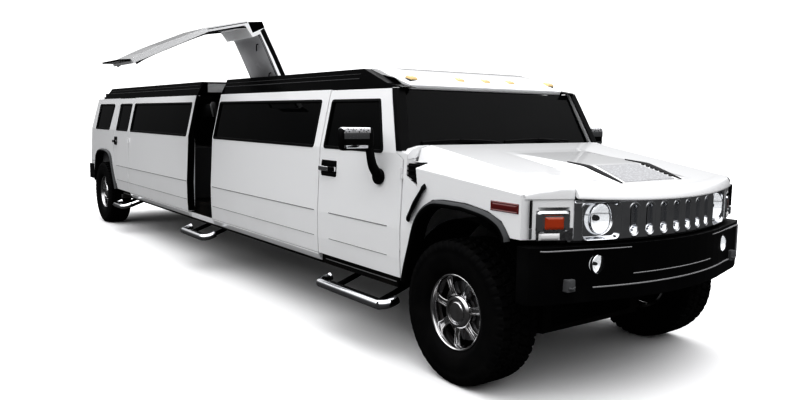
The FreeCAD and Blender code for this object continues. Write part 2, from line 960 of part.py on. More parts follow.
scuttle = prism(
    "scuttle",
    "XZ",
    [
        (s.screen_bottom_x - 10, s.screen_bottom_z - 60),
        (s.screen_bottom_x - 10, s.screen_bottom_z),
        (s.screen_bottom_x + 40, s.screen_bottom_z),
        (s.hood_rear_x - 70, s.screen_bottom_z - 10),
        (s.hood_rear_x - 70, s.screen_bottom_z - 60),
    ],
    -cowl_half,
    cowl_half,
)
scuttle_ends = box(
    "scuttle_ends",
    (s.front_door_front + half_seam, s.hood_rear_x - 70),
    (-(s.belt_y - s.frame_thickness), s.belt_y - s.frame_thickness),
    (s.screen_bottom_z - 60, s.screen_bottom_z - 10),
)
firewall = box(
    "firewall",
    (s.screen_bottom_x - 10, s.screen_bottom_x + 20),
    (-cowl_half, cowl_half),
    (s.floor_z, s.screen_bottom_z - 60),
)
cowl_left = mirrored("cowl_left", cowl_side_hinged)
cowl = joined("cowl", [cowl_side_hinged, cowl_left, scuttle, scuttle_ends, firewall])

screen_plane = prism(
    "screen_plane",
    "XZ",
    [
        (s.screen_bottom_x, s.screen_bottom_z),
        (s.screen_bottom_x + 8, s.screen_bottom_z),
        (s.screen_top_x + 8, s.screen_top_z - 34),
        (s.screen_top_x, s.screen_top_z - 34),
    ],
    -s.screen_bottom_y,
    s.screen_bottom_y,
)
screen_edge = prism(
    "screen_edge",
    "YZ",
    [
        (-s.screen_bottom_y, s.screen_bottom_z),
        (s.screen_bottom_y, s.screen_bottom_z),
        (s.screen_top_y, s.screen_top_z),
        (-s.screen_top_y, s.screen_top_z),
    ],
    s.screen_top_x - 50,
    s.screen_bottom_x + 50,
)
windshield = shared("windshield", [screen_plane, screen_edge])
node("fixed_glass", together("fixed_glass", [windshield] + fixed_panes + left_panes))

# Hood: a forward-tilting shell with sides down to the arches.
def hood_section(inset, crease_z, top_z, low_z):
    right = [
        (-s.crease_y + inset, low_z),
        (-s.crease_y + inset, crease_z - inset),
        (-s.crease_y + 98 + inset, crease_z + 26 - inset),
        (-s.crease_y + 123 + inset, top_z - 24 - inset),
        (-s.crease_y + 200 + inset, top_z - inset),
    ]
    left = [(-as_size(y), z) for y, z in reversed(right)]
    return right + left


def hood_loft(name, inset, extra):
    low = s.arch_front_z + 5 - extra
    rear = outline(
        name + "_rear",
        "YZ",
        hood_section(inset, s.hood_crease_rear_z, s.hood_rear_z, low),
        s.hood_rear_x - 50 - extra,
    )
    front = outline(
        name + "_front",
        "YZ",
        hood_section(inset, s.hood_crease_front_z, s.nose_z + 34, low),
        s.nose_x + 8 + extra,
    )
    loft = doc.addObject("Part::Loft", name)
    loft.Sections = [rear, front]
    loft.Solid = True
    loft.Ruled = True
    return loft


def bow(y):
    share = y / s.grille_half
    return s.nose_x - s.grille_sweep * share * share


nose_plan = [
    (s.hood_rear_x - 400, -1200),
    (s.hood_front_x + 6, -1200),
    (s.hood_front_x + 6, -s.crease_y + 5),
]
half_steps = 6
bow_points = []
for step in range(-half_steps, half_steps + 1):
    y = s.grille_half * (step / half_steps)
    bow_points.append((bow(y) + 8, y))
nose_plan += bow_points
nose_plan += [
    (s.hood_front_x + 6, s.crease_y - 5),
    (s.hood_front_x + 6, 1200),
    (s.hood_rear_x - 400, 1200),
]
hood_side_edge = prism(
    "hood_side_edge",
    "XZ",
    [
        (cowl_front + s.seam, s.arch_front_z + 5),
        (cowl_front + s.seam, vent_low_z),
        (cowl_front - 15, vent_top_z),
        (s.hood_rear_x - 48, vent_top_z),
        (s.hood_rear_x - 48, s.hood_rear_z + 40),
        (s.nose_x + 60, s.hood_rear_z + 40),
        (s.nose_x + 60, s.grille_top_z + 15),
        (s.hood_front_x, s.grille_top_z + 15),
        (s.hood_front_x, s.arch_front_z + 5),
    ],
    outside,
    -outside,
)
hood_shell = cut("hood_shell", hood_loft("hood_outer", 0, 0), [hood_loft("hood_inner", s.hood_wall, 40)])
hood_trimmed = shared(
    "hood_trimmed",
    [hood_shell, hood_side_edge, prism("nose_plan", "XY", nose_plan, s.bumper_low_z, s.hood_rear_z + 200)],
)
arch_clear = prism("hood_arch_clear", "XZ", front_arch(-half_seam), outside, -outside)
hinge_x = s.nose_x - s.grille_depth - 16
hinge_z = s.grille_top_z - 181
hood_fall = (s.hood_rear_z - s.nose_z - 34) / (s.nose_x + 8 - s.hood_rear_x + 50)


def hood_middle(x):
    return s.nose_z + 34 + (s.nose_x + 8 - x) * hood_fall - s.hood_wall / 2


arm_front = hinge_x - 240
arm_rear = hinge_x - 290
arm_points = [
    (hinge_x - 8, hinge_z - 4),
    (hinge_x + 3, hinge_z - 4),
    (hinge_x + 3, hinge_z + 8),
    (arm_front, s.nose_z + 16),
    (arm_front, hood_middle(arm_front)),
    (arm_rear, hood_middle(arm_rear)),
    (arm_rear, s.nose_z + 16),
]
arms = [prism("hood_arm_right", "XZ", arm_points, -80, -68), prism("hood_arm_left", "XZ", arm_points, 68, 80)]
for number, low in enumerate((-80, 68)):
    arms.append(cylinder("hood_eye_%d" % number, "y", (hinge_x, low, hinge_z), 12, s.hood_eye_radius))
hood_arched = cut("hood_arched", hood_trimmed, [arch_clear])

# Hood scoop: a low bulge whose mouth slopes down to the front.
scoop_points = [
    (s.scoop_rear_x, hood_middle(s.scoop_rear_x)),
    (s.scoop_rear_x, hood_middle(s.scoop_rear_x) + s.hood_wall / 2),
    (s.scoop_lip_x, hood_middle(s.scoop_lip_x) + s.hood_wall / 2 + s.scoop_height),
    (s.scoop_lip_x + s.scoop_height * 2, hood_middle(s.scoop_lip_x + s.scoop_height * 2) + s.hood_wall / 2),
    (s.scoop_lip_x + s.scoop_height * 2, hood_middle(s.scoop_lip_x + s.scoop_height * 2)),
]
scoop = prism("hood_scoop", "XZ", scoop_points, -s.scoop_half, s.scoop_half)


# Nose: a bowed grille with upright slots, lamps beside it and fixed corners.
def bowed(name, y, z, back, front):
    points = [(bow(place) - front, place) for place in bow_stations(y)]
    points += [(bow(place) - back, place) for place in reversed(bow_stations(y))]
    return prism(name, "XY", points, z[0], z[1])


def bow_stations(y):
    return [between(as_size(y[0]), as_size(y[1]), step / 12) for step in range(13)]


grille_bar = bowed(
    "grille_bar", (-s.grille_half, s.grille_half), (s.grille_low_z, s.grille_top_z), s.grille_depth, 0
)
slot_tools = []
for number in range(-3, 4):
    middle = s.slot_pitch * number
    raw = box(
        "slot_raw_%d" % (number + 4),
        (s.nose_x - 200, s.nose_x + 50),
        (middle - s.slot_width / 2, middle + s.slot_width / 2),
        (s.slot_low_z, s.slot_top_z),
    )
    slot_tools.append(rounded("slot_%d" % (number + 4), raw, s.slot_width * 0.45, "x"))
lamp_centres = (-s.lamp_y, s.lamp_y)
for number, y in enumerate(lamp_centres):
    slot_tools.append(
        cylinder("lamp_hole_%d" % number, "x", (s.nose_x - 260, y, s.lamp_z), 320, s.lamp_radius + 6)
    )
node("grille", cut("grille", grille_bar, slot_tools))

rail_inner_y = s.rail_y - s.rail_width / 2
radiator = box(
    "radiator_core",
    (s.frame_front - 60, s.frame_front - 15),
    (-rail_inner_y, rail_inner_y),
    (s.radiator_low_z, s.radiator_top_z),
)
carrier_wall = bowed(
    "carrier_wall",
    (-s.grille_half, s.grille_half),
    (s.bumper_top_z, s.grille_top_z),
    s.grille_depth + 15,
    s.grille_depth,
)
carrier_tools = [
    cylinder("carrier_hole_%d" % number, "x", (s.nose_x - 300, y, s.lamp_z), 320, s.lamp_radius)
    for number, y in enumerate(lamp_centres)
]
for number, side in enumerate((-1, 1)):
    ends = sorted((side * 58, side * 96))
    carrier_tools.append(
        box(
            "carrier_notch_%d" % number,
            (s.nose_x - 100, s.nose_x),
            (ends[0], ends[1]),
            (s.bumper_top_z + 30, s.grille_top_z + 10),
        )
    )
carrier = cut("carrier", carrier_wall, carrier_tools)
hinge_feet = [
    box(
        "hood_foot_%d" % number,
        (hinge_x - 16, hinge_x + 6),
        (low, low + 12),
        (s.bumper_top_z, hinge_z + 12),
    )
    for number, low in enumerate((-80 - s.running_gap - 12, 80 + s.running_gap))
]
node("radiator", together("radiator", [radiator, carrier] + hinge_feet))

lamp_face = bow(s.lamp_y)
fog_face = bow(s.fog_y) + s.bumper_front - s.nose_x
lamps = []
for number, y in enumerate(lamp_centres):
    lamps.append(cylinder("head_lamp_%d" % number, "x", (lamp_face - 90, y, s.lamp_z), 84, s.lamp_radius))
for number, y in enumerate((-s.fog_y, s.fog_y)):
    lamps.append(cylinder("fog_lamp_%d" % number, "x", (fog_face - 110, y, s.fog_z), 102, s.fog_radius))
node("head_lamps", together("head_lamps", lamps))

corner_points = [
    (s.hood_front_x - 10, -s.crease_y),
    (s.hood_front_x + 6, -s.crease_y),
    (bow(s.grille_half) + 2, -s.grille_half - half_seam),
    (bow(s.grille_half) - 110, -s.grille_half - half_seam),
    (s.hood_front_x - 10, -s.crease_y + 120),
]
corner_block = prism("nose_corner_block", "XY", corner_points, s.arch_front_z + 5, s.grille_top_z + 17)
turn_hole = box(
    "turn_hole",
    (s.hood_front_x + 45, s.nose_x),
    (-s.turn_outer_y, -s.turn_inner_y),
    (s.turn_low_z, s.turn_top_z),
)
corner = cut("nose_corner", corner_block, [turn_hole])
node("front_body", cowl)
node("hood", joined("hood", [hood_arched, scoop, corner, mirrored("nose_corner_left", corner)] + arms))
turn_lamp = shared("turn_lamp", [corner_block, turn_hole])
roof_lamps = []
for number, share in enumerate((-0.92, -0.34, 0, 0.34, 0.92)):
    middle = (s.screen_top_y - 60) * share
    roof_lamps.append(
        box(
            "roof_lamp_%d" % number,
            (s.screen_top_x - 118, s.screen_top_x - 50),
            (middle - 32, middle + 32),
            (s.screen_top_z + 42, s.screen_top_z + 68),
        )
    )
marker = box(
    "side_marker",
    (front_axle + 291, front_axle + 494),
    (-s.crease_y - 6, -s.crease_y),
    (1076, 1122),
)
lamp_seats = [cut("roof_lamp_cut_%d" % number, lamp, [cab_roof]) for number, lamp in enumerate(roof_lamps)]
node(
    "signal_lamps", together("signal_lamps", lamp_seats)
)
hood_lamps = [marker, turn_lamp]
hood_lamps += [mirrored("side_marker_left", marker), mirrored("turn_lamp_left", turn_lamp)]
node("side_markers", together("side_markers", hood_lamps))

# Front bumper: one bowed beam whose ends run back along the sides.
bumper_plan = [(bow(place) + s.bumper_front - s.nose_x, place) for place in bow_stations((-640, 640))]
bumper_back = [
    (bow(place) + s.bumper_front - s.nose_x - s.bumper_wall, place) for place in bow_stations((640, -640))
]
plan = [(s.bumper_side, -s.bumper_half), (s.bumper_corner_x, -s.bumper_half)]
plan += [(s.bumper_shoulder_x, -s.bumper_shoulder_y)]
plan += bumper_plan
plan += [(s.bumper_shoulder_x, s.bumper_shoulder_y), (s.bumper_corner_x, s.bumper_half)]
plan += [(s.bumper_side, s.bumper_half)]
plan += [(s.bumper_side, s.bumper_half - 60), (4400, s.bumper_half - 120)]
plan += bumper_back
plan += [(4400, -s.bumper_half + 120), (s.bumper_side, -s.bumper_half + 60)]
front_beam = prism("front_beam", "XY", plan, s.bumper_low_z, s.bumper_top_z)
fog_tools = [
    cylinder("fog_hole_%d" % number, "x", (s.bumper_front - 400, y, s.fog_z), 500, s.fog_radius)
    for number, y in enumerate((-s.fog_y, s.fog_y))
]
beam_brackets = [
    box(
        "beam_bracket_%d" % number,
        (s.frame_front, s.bumper_front - s.bumper_wall - 40),
        (y - s.rail_width / 2, y + s.rail_width / 2),
        (s.frame_nose_z + 10, s.frame_nose_z + s.rail_height - 10),
    )
    for number, y in enumerate((-s.rail_y, s.rail_y))
]
node("front_bumper", cut("front_bumper", joined("front_bumper_all", [front_beam] + beam_brackets), fog_tools))

# Tail: gate frame, tailgate, lamps and bumper.
gate_hinge_x = s.body_rear + 65
gate_edge = [
    (-s.gate_half, s.gate_low_z),
    (s.gate_half, s.gate_low_z),
    (s.gate_half, s.belt_z),
    (s.gate_half - 72, s.cant_z - half_seam),
    (-s.gate_half + 72, s.cant_z - half_seam),
    (-s.gate_half, s.belt_z),
]
gate_side = [
    (s.body_rear, s.gate_low_z - 20),
    (s.body_rear, s.belt_z),
    (s.body_rear + 65, s.cant_z),
    (s.body_rear + 65 + s.gate_thickness, s.cant_z),
    (s.body_rear + s.gate_thickness, s.belt_z),
    (s.body_rear + s.gate_thickness, s.gate_low_z - 20),
]
gate_slab = prism("gate_slab", "XZ", gate_side, -1000, 1000)
gate_shape = shared(
    "gate_shape", [gate_slab, prism("gate_edge", "YZ", gate_edge, s.body_rear - 50, s.body_rear + 300)]
)
rear_glass_edge = [
    (-s.gate_half + 90, s.belt_z - 10),
    (s.gate_half - 90, s.belt_z - 10),
    (s.gate_half - 140, s.window_top_z - 10),
    (-s.gate_half + 140, s.window_top_z - 10),
]
rear_hole = prism("rear_hole", "YZ", rear_glass_edge, s.body_rear - 50, s.body_rear + 300)
gate_glass_slab = prism(
    "gate_glass_slab",
    "XZ",
    [
        (s.body_rear + 12 - 4, s.belt_z - 40),
        (s.body_rear + 12, s.belt_z),
        (s.body_rear + 77, s.cant_z),
        (s.body_rear + 83, s.cant_z),
        (s.body_rear + 18, s.belt_z),
        (s.body_rear + 14, s.belt_z - 40),
    ],
    -1000,
    1000,
)


def gate_hinges(name, fixed):
    pieces = []
    for number, y in enumerate((-s.gate_half * 0.55, s.gate_half * 0.55)):
        low = y if fixed else y + 40 + s.running_gap
        hinge = (gate_hinge_x - 2, low, s.cant_z - 2)
        barrel = cylinder("%s_barrel_%d" % (name, number), "y", hinge, 40, 6)
        if fixed:
            leaf = box(
                "%s_leaf_%d" % (name, number),
                (gate_hinge_x - 2, gate_hinge_x + 60),
                (low, low + 40),
                (s.cant_z - 2, s.cant_z + 4),
            )
        else:
            leaf = box(
                "%s_leaf_%d" % (name, number),
                (gate_hinge_x - 2, gate_hinge_x + 20),
                (low, low + 40),
                (s.cant_z - 16, s.cant_z - 3),
            )
        pieces += [barrel, leaf]
    return pieces


gate_notches = [
    box(
        "gate_notch_%d" % number,
        (gate_hinge_x - 20, gate_hinge_x + 16),
        (y - 6, y + 46),
        (s.cant_z - 18, s.cant_z + 5),
    )
    for number, y in enumerate((-s.gate_half * 0.55, s.gate_half * 0.55))
]
gate_panel = cut("gate_panel", gate_shape, [rear_hole] + gate_notches)
node("tailgate", joined("tailgate", [gate_panel] + gate_hinges("gate_moving", False)))
node("tailgate_glass", shared("tailgate_glass", [gate_glass_slab, rear_hole]))
tail_frame_slab = prism(
    "tail_frame_slab",
    "XZ",
    [
        (s.body_rear, s.floor_z + 10),
        (s.body_rear, s.belt_z),
        (s.body_rear + 65, s.cant_z),
        (s.body_rear + 140, s.cant_z),
        (s.body_rear + 75, s.belt_z),
        (s.body_rear + 75, s.floor_z + 10),
    ],
    -1000,
    1000,
)
post_middle = s.frame_thickness / 2
tail_outer = [
    (-s.sill_y + s.door_thickness - 5, s.floor_z + 10),
    (s.sill_y - s.door_thickness + 5, s.floor_z + 10),
    (s.belt_y - post_middle, s.belt_z),
    (s.window_top_y - post_middle, s.window_top_z),
    (s.cant_y - post_middle, s.cant_z),
    (-s.cant_y + post_middle, s.cant_z),
    (-s.window_top_y + post_middle, s.window_top_z),
    (-s.belt_y + post_middle, s.belt_z),
]
tail_hole = [
    (-s.gate_half - s.seam, s.gate_low_z - s.seam),
    (s.gate_half + s.seam, s.gate_low_z - s.seam),
    (s.gate_half + s.seam, s.belt_z),
    (s.gate_half - 72 + s.seam, s.cant_z + 40),
    (-s.gate_half + 72 - s.seam, s.cant_z + 40),
    (-s.gate_half - s.seam, s.belt_z),
]
tail_frame = cut(
    "tail_frame_cut",
    shared(
        "tail_frame_shape",
        [tail_frame_slab, prism("tail_outer", "YZ", tail_outer, s.body_rear, s.body_rear + 300)],
    ),
    [prism("tail_hole", "YZ", tail_hole, s.body_rear - 50, s.body_rear + 300)],
)
hinge_base = prism(
    "hinge_base",
    "XZ",
    [
        (gate_hinge_x + 12, s.cant_z + 4),
        (gate_hinge_x + 12, s.cant_z + 16),
        (gate_hinge_x + 110, s.cant_z + 16),
        (gate_hinge_x + 110, s.cant_z),
        (gate_hinge_x + 84, s.cant_z),
        (gate_hinge_x + 84, s.cant_z + 4),
    ],
    -s.rail_inner_y,
    s.rail_inner_y,
)
node(
    "rear_body",
    joined(
        "rear_body",
        [quarter, mirrored("quarter_left", quarter), tail_frame, hinge_base] + gate_hinges(
            "gate_fixed", True
        ),
    ),
)

tail_lamp = box(
    "tail_lamp", (s.body_rear - 12, s.body_rear), (-s.gate_half - 90, -s.gate_half - 20), (900, 1180)
)
node("tail_lamps", together("tail_lamps", [tail_lamp, mirrored("tail_lamp_left", tail_lamp)]))
rear_beam = prism(
    "rear_beam",
    "XY",
    [
        (s.rear_bumper_end, -780),
        (s.rear_bumper_end, 780),
        (s.rear_bumper_end + 90, 1003),
        (s.body_rear + 150, 1003),
        (s.body_rear + 150, 960),
        (s.rear_bumper_end + 150, 930),
        (s.rear_bumper_end + 150, -930),
        (s.body_rear + 150, -960),
        (s.body_rear + 150, -1003),
        (s.rear_bumper_end + 90, -1003),
    ],
    s.rear_bumper_low_z,
    s.rear_bumper_top_z,
)
rear_brackets = [
    box(
        "rear_bracket_%d" % number,
        (s.rear_bumper_end + 100, s.frame_rear),
        (y - s.rail_width / 2, y + s.rail_width / 2),
        (s.frame_tail_z + 10, s.rear_bumper_low_z + 60),
    )
    for number, y in enumerate((-s.rail_y, s.rail_y))
]
plate_holes = [
    cylinder("plate_hole_%d" % number, "x", (s.rear_bumper_end - 10, y, s.plate_z), 60, s.plate_hole_radius)
    for number, y in enumerate((-s.plate_spacing / 2, s.plate_spacing / 2))
]
node("rear_bumper", cut("rear_bumper", joined("rear_bumper_all", [rear_beam] + rear_brackets), plate_holes))

receiver_tube = box(
    "receiver_tube", (s.rear_bumper_end + 20, s.frame_rear + 60), (-38, 38), (s.hitch_z - 38, s.hitch_z + 38)
)
receiver_bore = box(
    "receiver_bore", (s.rear_bumper_end, s.frame_rear - 20), (-26, 26), (s.hitch_z - 26, s.hitch_z + 26)
)
pin_bore = cylinder("pin_bore", "y", (s.rear_bumper_end + 90, -60, s.hitch_z), 120, s.hitch_pin_radius)
cross_bar = box(
    "receiver_bar",
    (s.frame_rear, s.frame_rear + 60),
    (-s.rail_y + s.rail_width / 2, s.rail_y - s.rail_width / 2),
    (s.hitch_z - 38, s.hitch_z + 38),
)
node(
    "hitch_receiver",
    cut("hitch_receiver", joined("receiver_all", [receiver_tube, cross_bar]), [receiver_bore, pin_bore]),
)

# Ladder frame: two long rails that rise over the axles, and cross members.
frame_side = [
    (s.frame_rear, s.frame_tail_z),
    (rear_axle - 420, s.frame_tail_z),
    (rear_axle - 300, s.frame_arch_z),
    (rear_axle + 300, s.frame_arch_z),
    (rear_axle + 480, s.rail_z),
    (front_axle - 560, s.rail_z),
    (front_axle - 400, s.frame_nose_z),
    (s.frame_front, s.frame_nose_z),
    (s.frame_front, s.frame_nose_z + s.rail_height),
    (front_axle - 380, s.frame_nose_z + s.rail_height),
    (front_axle - 540, s.rail_z + s.rail_height),
    (rear_axle + 460, s.rail_z + s.rail_height),
    (rear_axle + 280, s.frame_arch_z + s.rail_height),
    (rear_axle - 280, s.frame_arch_z + s.rail_height),
    (rear_axle - 400, s.frame_tail_z + s.rail_height),
    (s.frame_rear, s.frame_tail_z + s.rail_height),
]
rails = [
    prism("frame_rail_right", "XZ", frame_side, -s.rail_y - s.rail_width / 2, -s.rail_y + s.rail_width / 2),
    prism("frame_rail_left", "XZ", frame_side, s.rail_y - s.rail_width / 2, s.rail_y + s.rail_width / 2),
]
cross = []
for number in range(7):
    middle = between(rear_axle + 620, front_axle - 1250, number / 6)
    cross.append(
        box(
            "cross_member_%d" % number,
            (middle - 45, middle + 45),
            (-s.rail_y, s.rail_y),
            (s.rail_z + 30, s.rail_z + s.rail_height - 20),
        )
    )
pads = []
for number, x in enumerate((rear_axle + 620, front_axle - 820)):
    for side, y in enumerate((-s.rail_y, s.rail_y)):
        pads.append(
            cylinder("jack_pad_%d_%d" % (number, side), "z", (x, y, s.rail_z - 20), 25, 38)
        )
node("ladder_frame", joined("ladder_frame", rails + cross + pads))

floor_half = s.sill_y - s.door_thickness - 2
floor_plate = box(
    "floor_plate",
    (s.body_rear + 75, s.screen_bottom_x - 10),
    (-floor_half, floor_half),
    (s.floor_z, s.floor_z + s.floor_thickness),
)
well = []
for number, (low, high) in enumerate(((-1100, -s.well_inner_y), (s.well_inner_y, 1100))):
    well.append(
        box(
            "wheel_well_%d" % number,
            (rear_axle - s.well_reach, rear_axle + s.well_reach),
            (low, high),
            (s.floor_z - 50, s.floor_z + 100),
        )
    )
frame_arch_cover = box(
    "frame_arch_cover",
    (rear_axle - 520, rear_axle + 500),
    (-s.well_inner_y, s.well_inner_y),
    (s.frame_arch_z + s.rail_height, s.frame_arch_z + s.rail_height + 20),
)
cover_ends = [
    box(
        "cover_front",
        (rear_axle + 480, rear_axle + 500),
        (-s.well_inner_y, s.well_inner_y),
        (s.floor_z, s.frame_arch_z + s.rail_height + 20),
    ),
    box(
        "cover_rear",
        (rear_axle - 520, rear_axle - 500),
        (-s.well_inner_y, s.well_inner_y),
        (s.floor_z, s.frame_arch_z + s.rail_height + 20),
    ),
]
rail_slots = box(
    "rail_slots",
    (rear_axle - 500, rear_axle + 480),
    (-s.well_inner_y, s.well_inner_y),
    (s.floor_z - 10, s.floor_z + s.floor_thickness + 10),
)
door_rooms = []
for door_name, door_x in (
    ("front", (s.front_door_rear, s.screen_bottom_x)),
    ("rear", (rear_axle + s.rear_arch_front, s.rear_door_front)),
):
    for side, (low, high) in enumerate(((-1100, -floor_half + 8), (floor_half - 8, 1100))):
        door_rooms.append(
            box(
                "%s_door_room_%d" % (door_name, side),
                door_x,
                (low, high),
                (s.floor_z - 50, s.floor_z + 100),
            )
        )
floor_cut = cut("floor_cut", floor_plate, well + [rail_slots] + door_rooms)
rocker = prism(
    "rocker",
    "YZ",
    [
        (-s.rocker_outer_y, s.rocker_low_z),
        (-s.rocker_outer_y, s.sill_z - 8),
        (-floor_half + 10, s.sill_z - 8),
        (-floor_half + 10, s.floor_z + 2),
        (-floor_half + 50, s.floor_z + 2),
        (-floor_half + 50, s.rocker_low_z),
    ],
    s.rocker_rear,
    s.rocker_front,
)
rockers = [rocker, mirrored("rocker_left", rocker)]
node("floor_pan", joined("floor_pan", [floor_cut, frame_arch_cover] + cover_ends + rockers))


# Wheel liners: an arc of sheet over each tyre.
def liner(name, x, inner_y):
    drum = cylinder(name + "_drum", "y", (x, -s.crease_y + s.door_thickness + 6, s.tyre_radius), 1, 1)
    bind(drum, "Radius", s.liner_radius + 5)
    bind(drum, "Height", s.crease_y - s.door_thickness - 6 - inner_y)
    bore = cylinder(name + "_bore", "y", (x, -1100, s.tyre_radius), 1200, s.liner_radius)
    low = box(name + "_low", (x - 900, x + 900), (-1200, 200), (-900, s.tyre_radius + 190))
    wall = whole_wall(name + "_wall", (x - 700, x + 700))
    return cut(name, drum, [bore, low, wall])


liner_front = liner("liner_front", front_axle, s.liner_inner_y)
liner_rear = liner("liner_rear", rear_axle, s.well_inner_y)
node(
    "wheel_liners",
    together(
        "wheel_liners",
        [
            liner_front,
            liner_rear,
            mirrored("liner_front_left", liner_front),
            mirrored("liner_rear_left", liner_rear),
        ],
    ),
)

# Engine, gearbox, shafts and axles.
node(
    "engine",
    joined(
        "engine",
        [
            box(
                "engine_block", (front_axle - 470, front_axle + 180), (-300, 300), (s.frame_nose_z - 80, 1150)
            ),
            box(
                "engine_mounts",
                (front_axle - 200, front_axle - 120),
                (-s.rail_y + s.rail_width / 2, s.rail_y - s.rail_width / 2),
                (s.frame_nose_z + 60, s.frame_nose_z + 100),
            ),
        ],
    ),
)
shaft = cylinder("prop_shaft", "x", (rear_axle + 150, 0, s.tyre_radius + 20), 1, 45)
bind(shaft, "Height", s.wheelbase - 620 - 700)
gearbox = box("gearbox", (front_axle - 1170, front_axle - 470), (-190, 190), (s.rail_z - 70, s.rail_z + 125))
node("driveline", joined("driveline", [shaft, gearbox]))
axle_tube = cylinder("axle_tube", "y", (rear_axle, -1, s.tyre_radius), 2, 48)
axle_end = half_track - s.hub_reach - s.running_gap
bind(axle_tube, "Height", axle_end * 2)
bind(axle_tube, "Placement.Base.y", -axle_end)
axle_case = cylinder("axle_case", "x", (rear_axle - 150, 0, s.tyre_radius), 300, 130)
spring_pads = [
    box(
        "spring_pad_%d" % number,
        (rear_axle - 60, rear_axle + 60),
        (y - 45, y + 45),
        (s.tyre_radius + 20, s.frame_arch_z),
    )
    for number, y in enumerate((-s.rail_y, s.rail_y))
]
node("rear_axle", joined("rear_axle", [axle_tube, axle_case] + spring_pads))

kingpin = half_track - s.kingpin_inset
arms = []
for number, z in enumerate((s.tyre_radius - s.ball_height, s.tyre_radius + s.ball_height)):
    arm = prism(
        "arm_%d" % number,
        "XY",
        [
            (front_axle - 22, -kingpin - 22),
            (front_axle + 22, -kingpin - 22),
            (front_axle + 30, -kingpin + 120),
            (front_axle + 190, -s.rail_y - s.rail_width / 2),
            (front_axle + 190, -s.rail_y + s.rail_width / 2),
            (front_axle - 190, -s.rail_y + s.rail_width / 2),
            (front_axle - 190, -s.rail_y - s.rail_width / 2),
            (front_axle - 30, -kingpin + 120),
        ],
        z - 16,
        z + 16,
    )
    arms += [arm, mirrored("arm_left_%d" % number, arm)]
front_cradle = box(
    "front_cradle",
    (front_axle - 210, front_axle + 210),
    (-s.rail_y - s.rail_width / 2, s.rail_y + s.rail_width / 2),
    (s.tyre_radius - s.ball_height - 16, s.frame_nose_z),
)
cradle_room = box(
    "cradle_room",
    (front_axle - 250, front_axle + 250),
    (-s.rail_y + s.rail_width / 2, s.rail_y - s.rail_width / 2),
    (s.tyre_radius - s.ball_height + 16, s.frame_nose_z + 10),
)
node("front_suspension", joined("front_suspension", [cut("cradle", front_cradle, [cradle_room])] + arms))

knuckle_low = s.tyre_radius - s.ball_height + 16 + s.running_gap
knuckle_height = 2 * s.ball_height - 32 - 2 * s.running_gap
knuckle_post = cylinder("knuckle_post", "z", (front_axle, -kingpin, knuckle_low), 1, 24)
bind(knuckle_post, "Height", knuckle_height)
knuckle_hub = cylinder("knuckle_hub", "y", (front_axle, -1, s.tyre_radius), 1, 62)
bind(knuckle_hub, "Placement.Base.y", -axle_end)
bind(knuckle_hub, "Height", axle_end - kingpin)
knuckle_right = joined("knuckle_right", [knuckle_post, knuckle_hub])
node("knuckle_right", knuckle_right)
node("knuckle_left", mirrored("knuckle_left", knuckle_right))

# Wheels: a revolved tyre and rim at each corner.
rim_half = s.rim_width / 2
tyre_half = s.tyre_width / 2
seat_half = rim_half - s.flange_width
tyre_outline = [
    (-seat_half, s.bead_radius),
    (-seat_half, s.rim_radius),
    (-tyre_half + 14, s.rim_radius + 34),
    (-tyre_half, s.rim_radius + 92),
    (-tyre_half + 10, s.tyre_radius - 52),
    (-tyre_half + 30, s.tyre_radius - 14),
    (-tyre_half + 56, s.tyre_radius),
    (tyre_half - 56, s.tyre_radius),
    (tyre_half - 30, s.tyre_radius - 14),
    (tyre_half - 10, s.tyre_radius - 52),
    (tyre_half, s.rim_radius + 92),
    (tyre_half - 14, s.rim_radius + 34),
    (seat_half, s.rim_radius),
    (seat_half, s.bead_radius),
]
disc_out = s.disc_offset + s.disc_thickness / 2
disc_in = s.disc_offset - s.disc_thickness / 2
barrel_radius = s.bead_radius - s.rim_wall
rim_outline = [
    (-rim_half, barrel_radius),
    (-rim_half, s.rim_radius),
    (-seat_half, s.rim_radius),
    (-seat_half, s.bead_radius),
    (seat_half, s.bead_radius),
    (seat_half, s.rim_radius),
    (rim_half, s.rim_radius),
    (rim_half, barrel_radius),
    (disc_out, barrel_radius),
    (disc_out, s.hub_radius + 24),
    (disc_out + 26, s.hub_radius),
    (disc_out + 26, 0),
    (-s.hub_reach, 0),
    (-s.hub_reach, s.hub_radius - 20),
    (disc_in, s.hub_radius - 10),
    (disc_in, barrel_radius),
]


low, high = s.wheel_window_low, s.wheel_window_high
spoke_half = s.spoke_half_width.value


def wheel(corner_name, x, side):
    centre = (x, half_track * side, s.tyre_radius)
    spin = FreeCAD.Vector(0, 1, 0)
    tyre_points = [(as_size(place) * side, radius) for place, radius in tyre_outline]
    rim_points = [(as_size(place) * side, radius) for place, radius in rim_outline]
    node("tyre_" + corner_name, turned("tyre_" + corner_name, "YZ", tyre_points, centre, spin))
    rim = turned("rim_body_" + corner_name, "YZ", rim_points, centre, spin)
    tools = []
    count = int(s.spoke_count.value)
    for number in range(count):
        turn = 2 * math.pi * (number + 0.75) / count
        corners = []
        for radius, side_of in ((low, -1), (low, 1), (high, 1), (high, -1)):
            swing = turn + side_of * (math.pi / count - math.asin(spoke_half / radius.value))
            corners.append((x + radius * math.cos(swing), s.tyre_radius + radius * math.sin(swing)))
        far = half_track * side + disc_in_signed(side)
        tools.append(prism("rim_window_%s_%d" % (corner_name, number), "XZ", corners, far, far + 100))
    node("rim_" + corner_name, cut("rim_" + corner_name, rim, tools))


def disc_in_signed(side):
    return disc_in * side - 40 if side > 0 else disc_in * side - 60


wheel("front_right", front_axle, -1)
wheel("front_left", front_axle, 1)
wheel("rear_right", rear_axle, -1)
wheel("rear_left", rear_axle, 1)


# Cabin: front seats, lounge bench, bar, partition and dashboard.
floor_top = s.floor_z + s.floor_thickness


